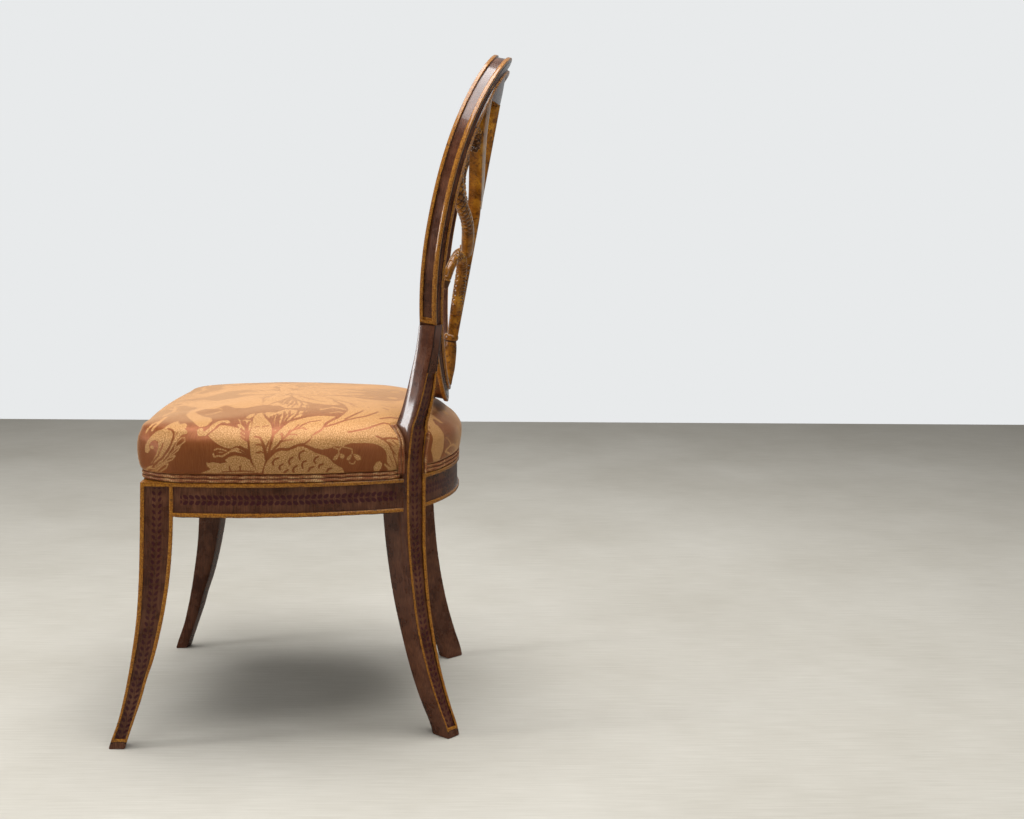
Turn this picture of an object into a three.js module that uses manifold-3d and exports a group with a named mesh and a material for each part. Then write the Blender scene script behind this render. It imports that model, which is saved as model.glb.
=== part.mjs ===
// A dining chair with an oval back frame and a lyre splat, in millimetres, +Z up, front towards -Y.
import * as THREE from 'three';
import { mergeVertices } from 'three/addons/utils/BufferGeometryUtils.js';
import Module from 'manifold-3d';

const wasm = await Module();
wasm.setup();

// Fits
const FIT_GAP = 0.3;          // air left between two pieces that touch
const OVERRUN = 8;            // how far a cutting solid runs past what it cuts

// Seat frame
const RAIL_TOP = 388;         // height of the top of the seat rails
const RAIL_HEIGHT = 49;
const RAIL_THICKNESS = 25;
const RAIL_SETBACK = 1.5;     // the rails' faces lie this far behind the legs' faces
const LIP = 6;                // width of the raised gilt lips round the panels
const PANEL_DEPTH = 3;        // depth of the panels between the lips
const FRONT_FACE = 243;       // front legs' front face, ahead of the seat's cross line
const BACK_FACE = 201.5;      // back rail's outer face at the middle, behind that line
const FRONT_BOW = 14;         // how far the front rail swells forward
const SIDE_BOW = 23;          // how far a side rail swells outward
const BACK_BOW = 52;          // how far the back rail swells backward
const TENON_LENGTH = 18;
const TENON_THICKNESS = 10;
const TENON_SHOULDER = 9;     // wood left above and below a tenon

// Front legs
const FRONT_HALF_WIDTH = 240;  // middle of the seat to a front leg's outer face at the rail
const FRONT_LEG_SPLAY = 9;     // the foot stands this much further out
const FRONT_LEG_DEPTH = 46.5;  // front to back at the top
const FRONT_LEG_WIDTH = 36;    // side to side at the top
const FRONT_FOOT_DEPTH = 23.6;
const FRONT_FOOT_WIDTH = 22;
const FRONT_LEG_SKEW = 8.5;     // the inner rear corner lies this far ahead of the outer one at the top
const FRONT_LEG_SWEEP = 53.5;  // how far the foot stands ahead of the rail
const FOOT_BAND = 15;          // height of the plain band below the panel

// Rear legs, each sawn in one piece with its stile
const REAR_HALF_WIDTH = 206;   // middle of the seat to a rear leg's outer corner at the rail
const REAR_LEG_SPLAY = 3;
const REAR_CORNER = 129;       // the outer corner's place behind the seat's cross line
const REAR_LEG_SWEEP = 61.5;   // how far the foot stands behind the rail
const REAR_LEG_TURN = THREE.MathUtils.degToRad(42);  // the leg's side face is turned to the front
const REAR_LEG_DEPTH = 50;     // width of the plain side face at the rail
const REAR_LEG_WIDTH = 40;     // width of the panelled outer face at the rail
const REAR_FOOT_DEPTH = 33;
const REAR_FOOT_WIDTH = 24;
const KNEE_HEIGHT = 463;       // where the stile starts to lean back
const KNEE_DEPTH = 30.5;       // width of the side face there
const STILE_TIP = 5;           // the stile ends this far below the end of the ring's channel

// Oval back ring, bent round an upright barrel and leaning back
const RING_HALF_WIDTH = 210;
const RING_UPPER = 263.7;      // from the ring's centre up to its top
const RING_LOWER = 267.4;      // from the ring's centre down to its lowest point
const RING_DIP_SHARE = 0.1510465116; // how far down the cushion the ring dips, of its height over the welt
const RING_CENTRE_BACK = 232.1;
const RING_WIDTH = 25.2;
const RING_DEPTH = 26.8;
const BACK_LEAN = THREE.MathUtils.degToRad(10.3);
const BACK_SAG = 53.5;         // how far the sides come forward of the middle
const CHANNEL_DEPTH = 3;
const REAR_HOLLOW_DEPTH = 2;
const UPPER_SQUARENESS = 2.35; // 2 is a plain ellipse
const LOWER_SQUARENESS = 2.02;
const CREST_ANGLE = THREE.MathUtils.degToRad(50);    // joint between the crest and a side
const FOOT_ANGLE = THREE.MathUtils.degToRad(-56);    // joint between a side and the lower piece
const STILE_JOINT_DROP = 134;  // the channel ends and the stile starts this far below the centre

// Lyre splat
const SPLAT_INSET = 4;         // the splat's rear face lies this far inside the ring's
const SPLAT_DEPTH = 20;
const COLLAR_RADIUS = 11.5;
const COLLAR_HEIGHT = 9;
const COLLAR_DROP = 164;       // top of the collar, below the ring's centre
const DROP_RADIUS = 10;        // the pointed drop under the collar
const DROP_TIP_RADIUS = 1.8;
const STEM_HALF_WIDTH = 11;
const STEM_RISE = 34;          // top of the stem, above the ring's centre
const STEM_THINNING = 4;       // the stem's front face is this much further back at the collar
const ARM_WIDTH = 23;
const BAR_HALF_WIDTH = 8;
const YOKE_RISE = 191;         // underside of the yoke, above the ring's centre
const NECK_RADIUS = 8;
const SERPENT_RADIUS = 9.5;

// Upholstery
const DECK_THICKNESS = 6;
const DECK_INSET = 9;
const WELT_CORD = 5.7;         // each of the two cords of the welt
const CUSHION_CROWN = 486;     // height of the middle of the cushion
const CUSHION_SWELL = 6;       // how far its sides swell past the rails
const CUSHION_EASE = 16;       // its rear shoulder is rounded back this much more
const DUST_COVER = 1.4;
const DUST_INSET = 7;

// Fastenings
const BLOCK_HEIGHT = 36;
const BLOCK_LEG = 78;          // length of a front block's side along a rail
const BLOCK_THICKNESS = 28;
const SCREW_RADIUS = 2.2;
const SCREW_HEAD_RADIUS = 4.4;
const SCREW_HEAD_HEIGHT = 2.6;
const SCREW_LENGTH = 46;
const SCREW_SPACING = 17;
const DOWEL_RADIUS = 4;
const RING_DOWEL_LENGTH = 34;
const STILE_DOWEL_LENGTH = 22;
const SMALL_DOWEL_RADIUS = 3;
const SMALL_DOWEL_LENGTH = 18;
const PIN_RADIUS = 2;

// Steps of the curved surfaces
const LEG_STEPS = 12;
const RAIL_STEPS = 12;
const RING_STEPS = 56;         // facets round the whole oval
const SPLAT_STEPS = 14;
const CORD_STEPS = 7;
const DOWEL_SIDES = 8;

const RAIL_BOTTOM = RAIL_TOP - RAIL_HEIGHT;
const WELT_TOP = RAIL_TOP + 2 * FIT_GAP + 2 * WELT_CORD;
const RING_BOTTOM = CUSHION_CROWN - RING_DIP_SHARE * (CUSHION_CROWN - WELT_TOP);
const RING_CENTRE_HEIGHT = RING_BOTTOM + RING_LOWER * Math.cos(BACK_LEAN);
const RING_JOINT_HEIGHT = RING_CENTRE_HEIGHT - STILE_JOINT_DROP * Math.cos(BACK_LEAN);

// Shares of a front leg: height, forward sweep, then depth between foot and top
const FRONT_LEG_SHARES = [
  [0, 1, 0], [0.036, 0.914, 0], [0.112, 0.716, -0.02], [0.19, 0.57, 0.1], [0.265, 0.45, 0.19],
  [0.34, 0.348, 0.39], [0.49, 0.183, 0.64], [0.64, 0.093, 0.87], [0.79, 0.045, 1], [1, 0, 1],
];

// Shares of a rear leg below the rail: height, backward sweep, depth and width between foot and rail
const REAR_LEG_SHARES = [
  [0, 1, 0, 0], [0.045, 0.945, 0.04, 0.02], [0.134, 0.77, 0.12, 0.12], [0.223, 0.607, 0.15, 0.25],
  [0.312, 0.467, 0.16, 0.36], [0.49, 0.247, 0.24, 0.6], [0.62, 0.15, 0.5, 0.66], [0.84, 0.034, 0.78, 0.84],
  [1, 0, 1, 1],
];

// Shares of a stile between rail and ring: height, lean, turn, depth to the knee, width
const STILE_SHARES = [
  [0, 0, 1, 0, 0], [0.129, 0.036, 0.99, 0.36, 0.12], [0.27, 0.115, 0.93, 0.82, 0.1],
  [0.347, 0.19, 0.86, 1, 0.28], [0.4, 0.298, 0.78, 1.04, 0.36], [0.53, 0.512, 0.55, 1.11, 0.46],
  [0.676, 0.7, 0.33, 1.17, 0.72], [0.828, 0.875, 0.13, 1.22, 1.02], [1, 1, 0, 1.23, 1],
];

// Turns a table of shares into a smooth function of its first column
function smoothTable(shares, column) {
  const places = shares.map((row) => row[0]);
  const values = shares.map((row) => row[column]);
  const curve = new THREE.CubicInterpolant(places, values, 1);
  return (place) => curve.evaluate(place)[0];
}

const mix = THREE.MathUtils.lerp;
const point = (x, y, z) => new THREE.Vector3(x, y, z);
const plan = (x, y) => new THREE.Vector2(x, y);
const steps = (count) => Array.from({ length: count + 1 }, (_, index) => index / count);

// Turns a closed surface inside out if its faces point inward
function facingOut(geometry) {
  const place = geometry.attributes.position;
  const index = geometry.index.array;
  const corners = [point(0, 0, 0), point(0, 0, 0), point(0, 0, 0)];
  let volume = 0;
  for (let face = 0; face < index.length; face += 3) {
    corners.forEach((corner, side) => corner.fromBufferAttribute(place, index[face + side]));
    volume += corners[0].dot(corners[1].clone().cross(corners[2]));
  }
  if (volume < 0) {
    for (let face = 0; face < index.length; face += 3) {
      [index[face], index[face + 1]] = [index[face + 1], index[face]];
    }
  }
  return geometry;
}

// Skins a row of like sections into one closed surface; the flat outline closes both ends
function loft(sections, outline) {
  const count = sections[0].length;
  const places = sections.flat().flatMap((corner) => corner.toArray());
  const faces = [];
  for (let row = 0; row + 1 < sections.length; row += 1) {
    for (let side = 0; side < count; side += 1) {
      const here = row * count + side;
      const next = row * count + ((side + 1) % count);
      faces.push(here, next, next + count, here, next + count, here + count);
    }
  }
  const last = (sections.length - 1) * count;
  const caps = THREE.ShapeUtils.triangulateShape(outline, []);
  const turned = THREE.ShapeUtils.area(outline) < 0;
  caps.forEach(([first, second, third]) => {
    const [a, b] = turned ? [second, first] : [first, second];
    faces.push(b, a, third, last + a, last + b, last + third);
  });
  const geometry = new THREE.BufferGeometry();
  geometry.setAttribute('position', new THREE.Float32BufferAttribute(places, 3));
  geometry.setIndex(faces);
  return facingOut(geometry);
}

// Geometry to solid and back
function toSolid(geometry) {
  const bare = geometry.clone();
  bare.deleteAttribute('normal');
  bare.deleteAttribute('uv');
  const merged = mergeVertices(bare);
  const vertProperties = Float32Array.from(merged.attributes.position.array);
  const triVerts = Uint32Array.from(merged.index.array);
  return new wasm.Manifold(new wasm.Mesh({ numProp: 3, vertProperties, triVerts }));
}

function toGeometry(solid) {
  const mesh = solid.getMesh();
  const geometry = new THREE.BufferGeometry();
  geometry.setAttribute('position', new THREE.BufferAttribute(Float32Array.from(mesh.vertProperties), 3));
  geometry.setIndex(Array.from(mesh.triVerts));
  geometry.computeVertexNormals();
  return geometry;
}

// Mirrors a solid to the other side of the chair
function mirrored(solid) {
  const geometry = toGeometry(solid);
  geometry.scale(-1, 1, 1);
  return toSolid(facingOut(geometry));
}

// The largest body of a solid, without the slivers a cut leaves beside it
function mainBody(solid) {
  return solid.decompose().reduce((best, body) => (body.volume() > best.volume() ? body : best));
}

// A plain corner list as a flat outline for caps
const flat = (corners) => corners.map(([across, along]) => plan(across, along));

// Front leg
const frontSweep = smoothTable(FRONT_LEG_SHARES, 1);
const frontDepth = smoothTable(FRONT_LEG_SHARES, 2);

// Outer faces of a front leg at one height
function frontLegAt(height) {
  const share = height / RAIL_TOP;
  const front = -FRONT_FACE - FRONT_LEG_SWEEP * frontSweep(share);
  const depth = mix(FRONT_FOOT_DEPTH, FRONT_LEG_DEPTH, frontDepth(share));
  const width = mix(FRONT_FOOT_WIDTH, FRONT_LEG_WIDTH, Math.min(share, 1));
  const outer = FRONT_HALF_WIDTH + FRONT_LEG_SPLAY * (1 - share);
  const skew = FRONT_LEG_SKEW * width / FRONT_LEG_WIDTH;
  return { front, back: front + depth, outer, inner: outer - width, skew };
}

function frontLegBody(grow) {
  const sections = steps(LEG_STEPS).map((share) => {
    const height = mix(0, RAIL_TOP, share) + (share === 1 ? grow : 0) - (share === 0 ? grow : 0);
    const { front, back, outer, inner, skew } = frontLegAt(mix(0, RAIL_TOP, share));
    return [
      point(inner - grow, front - grow, height), point(outer + grow, front - grow, height),
      point(outer + grow, back + grow, height), point(inner - grow, back + grow - skew, height),
    ];
  });
  return toSolid(loft(sections, flat([[0, 0], [1, 0], [1, 1], [0, 1]])));
}

// The cut that sinks the panel into the side face or the front face
function frontLegPanel(face) {
  const sections = steps(LEG_STEPS).map((share) => {
    const height = mix(FOOT_BAND, RAIL_TOP - LIP, share);
    const { front, back, outer, inner } = frontLegAt(height);
    const edge = Math.min(LIP, (back - front) / LIP);
    if (face === 'side') {
      return [
        point(outer - PANEL_DEPTH, front + edge, height), point(outer + OVERRUN, front + edge, height),
        point(outer + OVERRUN, back - edge, height), point(outer - PANEL_DEPTH, back - edge, height),
      ];
    }
    return [
      point(inner + edge, front - OVERRUN, height), point(outer - edge, front - OVERRUN, height),
      point(outer - edge, front + PANEL_DEPTH, height), point(inner + edge, front + PANEL_DEPTH, height),
    ];
  });
  return toSolid(loft(sections, flat([[0, 0], [1, 0], [1, 1], [0, 1]])));
}

// The back's own frame: across, up the lean, and behind the ring's rear face
const BARREL_RADIUS = (RING_HALF_WIDTH ** 2 + BACK_SAG ** 2) / (2 * BACK_SAG);

function backPoint(across, rise, behind) {
  const turn = Math.asin(across / BARREL_RADIUS);
  const radius = BARREL_RADIUS + behind;
  const depth = radius * Math.cos(turn) - BARREL_RADIUS;
  return point(
    radius * Math.sin(turn),
    RING_CENTRE_BACK + rise * Math.sin(BACK_LEAN) + depth * Math.cos(BACK_LEAN),
    RING_CENTRE_HEIGHT + rise * Math.cos(BACK_LEAN) - depth * Math.sin(BACK_LEAN),
  );
}

// A point of the oval at one angle, moved inward across the ring's width
function ovalAt(angle, inward) {
  const across = Math.cos(angle);
  const rise = Math.sin(angle);
  const power = 2 / (rise >= 0 ? UPPER_SQUARENESS : LOWER_SQUARENESS);
  const half = rise >= 0 ? RING_UPPER : RING_LOWER;
  return plan(
    (RING_HALF_WIDTH - inward) * Math.sign(across) * Math.abs(across) ** power,
    (half - inward) * Math.sign(rise) * Math.abs(rise) ** power,
  );
}

// Half the oval's width at one rise
function ovalHalfWidth(rise, inward) {
  const power = rise >= 0 ? UPPER_SQUARENESS : LOWER_SQUARENESS;
  const half = (rise >= 0 ? RING_UPPER : RING_LOWER) - inward;
  return (RING_HALF_WIDTH - inward) * (1 - Math.abs(rise / half) ** power) ** (1 / power);
}

// The oval's rise over the centre at one place across
function ovalRise(across, inward) {
  const share = Math.abs(across) / (RING_HALF_WIDTH - inward);
  return (RING_UPPER - inward) * (1 - share ** UPPER_SQUARENESS) ** (1 / UPPER_SQUARENESS);
}

// The ring's section: inward from the outer edge, and behind the rear face
function ringSection() {
  return flat([
    [0, -RING_DEPTH], [0, -RING_DEPTH + LIP], [CHANNEL_DEPTH, -RING_DEPTH + LIP], [CHANNEL_DEPTH, -LIP],
    [0, -LIP], [0, 0], [LIP, 0], [LIP, -REAR_HOLLOW_DEPTH], [RING_WIDTH - LIP, -REAR_HOLLOW_DEPTH],
    [RING_WIDTH - LIP, 0], [RING_WIDTH, 0], [RING_WIDTH, -RING_DEPTH],
  ]);
}

function ringArc(from, to, outline) {
  const stride = (2 * Math.PI) / RING_STEPS;
  const margin = stride / RING_STEPS;
  const inside = [];
  for (let index = Math.ceil(from / stride); index * stride < to; index += 1) {
    const angle = index * stride;
    if (angle - from > margin && to - angle > margin) inside.push(angle);
  }
  const sections = [from, ...inside, to].map((angle) => outline.map((corner) => {
    const place = ovalAt(angle, corner.x);
    return backPoint(place.x, place.y, corner.y);
  }));
  return toSolid(loft(sections, outline));
}

// The plain ring, grown all round, that trims what meets it; reach widens it outward
function ringTrimmer(grow, reach) {
  const outline = flat([
    [-grow - reach, -RING_DEPTH - grow], [-grow - reach, grow], [RING_WIDTH + grow, grow],
    [RING_WIDTH + grow, -RING_DEPTH - grow],
  ]);
  const joints = [CREST_ANGLE, Math.PI - CREST_ANGLE, Math.PI - FOOT_ANGLE, 2 * Math.PI + FOOT_ANGLE];
  const right = ringArc(joints[3] - 2 * Math.PI, joints[0], outline);
  const arcs = joints.slice(1).map((angle, index) => ringArc(joints[index], angle, outline));
  return arcs.reduce((whole, arc) => whole.add(arc), right);
}

// Rear leg and stile
const rearSweep = smoothTable(REAR_LEG_SHARES, 1);
const rearDepth = smoothTable(REAR_LEG_SHARES, 2);
const rearWidth = smoothTable(REAR_LEG_SHARES, 3);
const stileLean = smoothTable(STILE_SHARES, 1);
const stileTurn = smoothTable(STILE_SHARES, 2);
const stileDepth = smoothTable(STILE_SHARES, 3);
const stileWidth = smoothTable(STILE_SHARES, 4);

const JOINT_ACROSS = ovalHalfWidth(-STILE_JOINT_DROP, 0);
const JOINT_PLACE = backPoint(JOINT_ACROSS, -STILE_JOINT_DROP, 0);
const JOINT_TURN = Math.asin(JOINT_ACROSS / BARREL_RADIUS);

// The outer corner, the turn and the two face widths of a rear leg at one height
function rearLegAt(height) {
  if (height <= RAIL_BOTTOM) {
    const share = height / RAIL_BOTTOM;
    return {
      corner: plan(
        REAR_HALF_WIDTH + REAR_LEG_SPLAY * (1 - share),
        REAR_CORNER + REAR_LEG_SWEEP * rearSweep(share),
      ),
      turn: REAR_LEG_TURN,
      depth: mix(REAR_FOOT_DEPTH, REAR_LEG_DEPTH, rearDepth(share)),
      width: mix(REAR_FOOT_WIDTH, REAR_LEG_WIDTH, rearWidth(share)),
    };
  }
  if (height <= RAIL_TOP) {
    return {
      corner: plan(REAR_HALF_WIDTH, REAR_CORNER),
      turn: REAR_LEG_TURN,
      depth: REAR_LEG_DEPTH,
      width: REAR_LEG_WIDTH,
    };
  }
  const share = (height - RAIL_TOP) / (JOINT_PLACE.z - RAIL_TOP);
  return {
    corner: plan(
      mix(JOINT_PLACE.x, REAR_HALF_WIDTH, 1 - share ** 2),
      mix(REAR_CORNER, JOINT_PLACE.y, stileLean(share)),
    ),
    turn: mix(JOINT_TURN, REAR_LEG_TURN, stileTurn(share)),
    depth: mix(REAR_LEG_DEPTH, KNEE_DEPTH, stileDepth(share)),
    width: mix(REAR_LEG_WIDTH, RING_WIDTH, stileWidth(share)),
  };
}

// Directions out of the plain side face and out of the panelled face
const sideOut = (turn) => plan(Math.cos(turn), -Math.sin(turn));
const panelOut = (turn) => plan(Math.sin(turn), Math.cos(turn));

// A place on a rear leg: so far in from the side face and from the panelled face
function onRearLeg(height, fromSide, fromPanel) {
  const { corner, turn } = rearLegAt(height);
  const place = corner.clone();
  place.addScaledVector(sideOut(turn), -fromSide);
  place.addScaledVector(panelOut(turn), -fromPanel);
  return point(place.x, place.y, height);
}

const REAR_LEG_HEIGHTS = [
  ...REAR_LEG_SHARES.map((row) => row[0] * RAIL_BOTTOM),
  RAIL_TOP,
  ...STILE_SHARES.slice(1, -1).map((row) => mix(RAIL_TOP, JOINT_PLACE.z, row[0])),
  JOINT_PLACE.z - STILE_TIP,
];

function rearLegBody(grow) {
  const sections = REAR_LEG_HEIGHTS.map((height) => {
    const { depth, width } = rearLegAt(height);
    const corners = [
      onRearLeg(height, -grow, -grow), onRearLeg(height, width + grow, -grow),
      onRearLeg(height, width + grow, depth + grow), onRearLeg(height, -grow, depth + grow),
    ];
    if (height === 0) corners.forEach((corner) => corner.setZ(-grow));
    return corners;
  });
  return toSolid(loft(sections, flat([[0, 0], [1, 0], [1, 1], [0, 1]])));
}

function rearLegPanel() {
  const ends = [FOOT_BAND, KNEE_HEIGHT + (JOINT_PLACE.z - KNEE_HEIGHT) / 2];
  const inside = REAR_LEG_HEIGHTS.filter((height) => height > ends[0] && height < ends[1]);
  const sections = [ends[0], ...inside, ends[1]].map((height) => {
    const { width } = rearLegAt(height);
    const edge = Math.min(LIP, width / LIP);
    return [
      onRearLeg(height, edge, -OVERRUN), onRearLeg(height, width - edge, -OVERRUN),
      onRearLeg(height, width - edge, PANEL_DEPTH), onRearLeg(height, edge, PANEL_DEPTH),
    ];
  });
  return toSolid(loft(sections, flat([[0, 0], [1, 0], [1, 1], [0, 1]])));
}

// A bowed line in plan, with its outward direction at every share
function bowedLine(start, end, bow) {
  const chord = end.clone().sub(start);
  const half = chord.length() / 2;
  const radius = (half ** 2 + bow ** 2) / (2 * bow);
  const along = chord.clone().normalize();
  const out = plan(along.y, -along.x);
  const centre = start.clone().add(end).multiplyScalar(1 / 2).addScaledVector(out, bow - radius);
  const reach = Math.asin(half / radius);
  return (share, offset) => {
    const turn = mix(-reach, reach, share);
    const place = centre.clone();
    place.addScaledVector(along, (radius + offset) * Math.sin(turn));
    place.addScaledVector(out, (radius + offset) * Math.cos(turn));
    return place;
  };
}

// The three faces of the seat frame in plan; each runs into the legs at both ends
const railTop = rearLegAt(RAIL_TOP);
const rearSideMiddle = onRearLeg(RAIL_TOP, 0, LIP);
const rearBackMiddle = onRearLeg(RAIL_TOP, railTop.width, LIP);
const frontCorner = plan(FRONT_HALF_WIDTH - RAIL_SETBACK, -FRONT_FACE + RAIL_SETBACK);
const sideFace = bowedLine(
  plan(frontCorner.x, -FRONT_FACE + FRONT_LEG_DEPTH / 2),
  plan(rearSideMiddle.x, rearSideMiddle.y),
  SIDE_BOW,
);
const frontFace = bowedLine(plan(-frontCorner.x, frontCorner.y), plan(frontCorner.x, frontCorner.y), FRONT_BOW);
const backFace = bowedLine(
  plan(rearBackMiddle.x, BACK_FACE - BACK_BOW),
  plan(-rearBackMiddle.x, BACK_FACE - BACK_BOW),
  BACK_BOW,
);

// A rail's section: out of its face, and height
function railSection() {
  return flat([
    [0, RAIL_TOP], [0, RAIL_TOP - LIP], [-PANEL_DEPTH, RAIL_TOP - LIP], [-PANEL_DEPTH, RAIL_BOTTOM + LIP],
    [0, RAIL_BOTTOM + LIP], [0, RAIL_BOTTOM], [-RAIL_THICKNESS, RAIL_BOTTOM], [-RAIL_THICKNESS, RAIL_TOP],
  ]);
}

function railBody(face) {
  const outline = railSection();
  const sections = steps(RAIL_STEPS).map((share) => outline.map((corner) => {
    const place = face(share, corner.x);
    return point(place.x, place.y, corner.y);
  }));
  return toSolid(loft(sections, outline));
}

// A tenon along a rail's end, or its mortise when grown
function tenon(face, end, grow) {
  const middle = -RAIL_THICKNESS / 2;
  const far = face(end, middle);
  const near = face(mix(end, 1 / 2, 1 / RAIL_STEPS), middle);
  const out = far.clone().sub(near).normalize();
  const side = plan(out.y, -out.x).multiplyScalar(TENON_THICKNESS / 2 + grow);
  const low = RAIL_BOTTOM + TENON_SHOULDER - grow;
  const high = RAIL_TOP - TENON_SHOULDER + grow;
  const tip = far.clone().addScaledVector(out, grow);
  const root = far.clone().addScaledVector(out, -2 * TENON_LENGTH);
  const corners = [root.clone().add(side), tip.clone().add(side), tip.clone().sub(side), root.clone().sub(side)];
  const sections = [low, high].map((height) => corners.map((corner) => point(corner.x, corner.y, height)));
  return toSolid(loft(sections, corners));
}

// The plan outline of the seat, smooth at its corners, for the cushion, deck and dust cover
const OUTLINE_FRONT_SHARES = [0.5, 0.66, 0.82, 0.94];
const OUTLINE_SIDE_SHARES = [0.06, 0.2, 0.4, 0.6, 0.8, 0.96];
const OUTLINE_BACK_SHARES = [0.08, 0.22, 0.36, 0.5];
const OUTLINE_POINTS = 56;

function seatOutline() {
  const half = [
    ...OUTLINE_FRONT_SHARES.map((share) => frontFace(share, 0)),
    ...OUTLINE_SIDE_SHARES.map((share) => sideFace(share, 0)),
    ...OUTLINE_BACK_SHARES.map((share) => backFace(share, 0)),
  ];
  const other = half.slice(1, -1).reverse().map((place) => plan(-place.x, place.y));
  const curve = new THREE.CatmullRomCurve3(
    [...half, ...other].map((place) => point(place.x, place.y, 0)), true, 'centripetal',
  );
  return curve.getSpacedPoints(OUTLINE_POINTS).slice(0, -1).map((place) => plan(place.x, place.y));
}

const OUTLINE = seatOutline();
const SEAT_MIDDLE = plan(0, (BACK_FACE - FRONT_FACE) / 2);

// Outward direction of the outline at every point
const OUTWARD = OUTLINE.map((place, index) => {
  const count = OUTLINE.length;
  const along = OUTLINE[(index + 1) % count].clone().sub(OUTLINE[(index + count - 1) % count]).normalize();
  return plan(along.y, -along.x);
});

// The outline moved out by an offset, then drawn in towards the seat's middle by a share
function outlineMoved(offset, drawn = 0) {
  return OUTLINE.map((place, index) => {
    const moved = place.clone().addScaledVector(OUTWARD[index], offset);
    return moved.lerp(SEAT_MIDDLE, drawn);
  });
}

// A plan outline lifted to one height
const level = (outline, height) => outline.map((place) => point(place.x, place.y, height));

function plate(low, high, offset) {
  const outline = outlineMoved(offset);
  return toSolid(loft([low, high].map((height) => level(outline, height)), outline));
}

// The cushion's profile above the welt: share of its height, of its swell, of the rear ease, drawn in
const DECK_TOP = RAIL_TOP + FIT_GAP + DECK_THICKNESS;
const CUSHION_SHARES = [
  [0.12, 0.6, 0, 0], [0.29, 1, 0, 0], [0.46, 1, 0.1, 0], [0.58, 0.6, 0.5, 0], [0.675, 0.1, 0.9, 0.012],
  [0.745, 0, 1, 0.04], [0.8, 0, 1, 0.085], [0.855, 0, 0.8, 0.16], [0.91, 0, 0.3, 0.29],
  [0.955, 0, 0, 0.48], [0.985, 0, 0, 0.7], [0.997, 0, 0, 0.88],
];

function cushionBody() {
  const low = DECK_TOP + FIT_GAP;
  const step = WELT_TOP + FIT_GAP;
  const rows = [[low, -WELT_CORD], [step, -WELT_CORD], [step, 0]];
  const sections = rows.map(([height, offset]) => level(outlineMoved(offset), height));
  CUSHION_SHARES.forEach(([up, out, ease, drawn]) => {
    const height = mix(step, CUSHION_CROWN, up);
    sections.push(OUTLINE.map((place, index) => {
      const backness = THREE.MathUtils.smoothstep(place.y, 0, BACK_FACE);
      const offset = CUSHION_SWELL * out * (1 - backness / 2) - CUSHION_EASE * ease * backness;
      const moved = place.clone().addScaledVector(OUTWARD[index], offset).lerp(SEAT_MIDDLE, drawn);
      return point(moved.x, moved.y, height);
    }));
  });
  return toSolid(domed(sections, point(SEAT_MIDDLE.x, SEAT_MIDDLE.y, CUSHION_CROWN)));
}

// Skins a row of sections that is flat below and closes to one point above
function domed(sections, apex) {
  const count = OUTLINE.length;
  const geometry = loft(sections, OUTLINE);
  const last = (sections.length - 1) * count;
  const index = Array.from(geometry.index.array);
  const kept = [];
  for (let face = 0; face < index.length; face += 3) {
    const corners = index.slice(face, face + 3);
    if (!corners.every((corner) => corner >= last)) kept.push(...corners);
  }
  const places = [...geometry.attributes.position.array, ...apex.toArray()];
  for (let side = 0; side < count; side += 1) {
    kept.push(last + side, last + ((side + 1) % count), last + count);
  }
  const dome = new THREE.BufferGeometry();
  dome.setAttribute('position', new THREE.Float32BufferAttribute(places, 3));
  dome.setIndex(kept);
  return facingOut(dome);
}

// The double welt's section: out of the seat's edge, and height
const WELT_SECTION_SHARES = [
  [-0.5, 0], [0.1, 0], [0.42, 0.2], [0.5, 0.5], [0.15, 1], [0.5, 1.5], [0.42, 1.8], [0.1, 2], [-0.5, 2],
];

function edgeWelt(line) {
  const outline = WELT_SECTION_SHARES.map(([out, up]) => plan(
    (out - 1 / 2) * WELT_CORD + FIT_GAP,
    RAIL_TOP + 2 * FIT_GAP + up * WELT_CORD,
  ));
  const outward = (index) => {
    const before = line[Math.max(index - 1, 0)];
    const after = line[Math.min(index + 1, line.length - 1)];
    const along = after.clone().sub(before).normalize();
    return plan(along.y, -along.x);
  };
  const sections = line.map((place, index) => outline.map((corner) => {
    const moved = place.clone().addScaledVector(outward(index), corner.x);
    return point(moved.x, moved.y, corner.y);
  }));
  return toSolid(loft(sections, outline));
}

// The cords that run up the cushion's cut-out at a stile: share of the face's width, height
const SIDE_NOTCH_SHARES = [[0.2, 0.04], [0.2, 0.3], [0.26, 0.5], [0.44, 0.66], [0.72, 0.77]];
const REAR_NOTCH_SHARES = [[0.9, 0.04], [0.9, 0.36], [0.93, 0.6]];

// One of those cords, lying on the side face or the panelled face of the right stile
function notchWelt(shares, face, grow) {
  const lift = WELT_CORD / 2 + FIT_GAP;
  const places = shares.map(([along, up]) => {
    const height = mix(WELT_TOP, CUSHION_CROWN, up);
    const { depth, width } = rearLegAt(height);
    return face === 'side' ? onRearLeg(height, -lift, depth * along) : onRearLeg(height, width * along, -lift);
  });
  const curve = new THREE.CatmullRomCurve3(places, false, 'centripetal');
  const circle = new THREE.Shape();
  circle.absarc(0, 0, WELT_CORD / 2 + grow, 0, 2 * Math.PI);
  const settings = { steps: CORD_STEPS, curveSegments: 4, extrudePath: curve, bevelEnabled: false };
  return toSolid(new THREE.ExtrudeGeometry(circle, settings));
}

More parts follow.
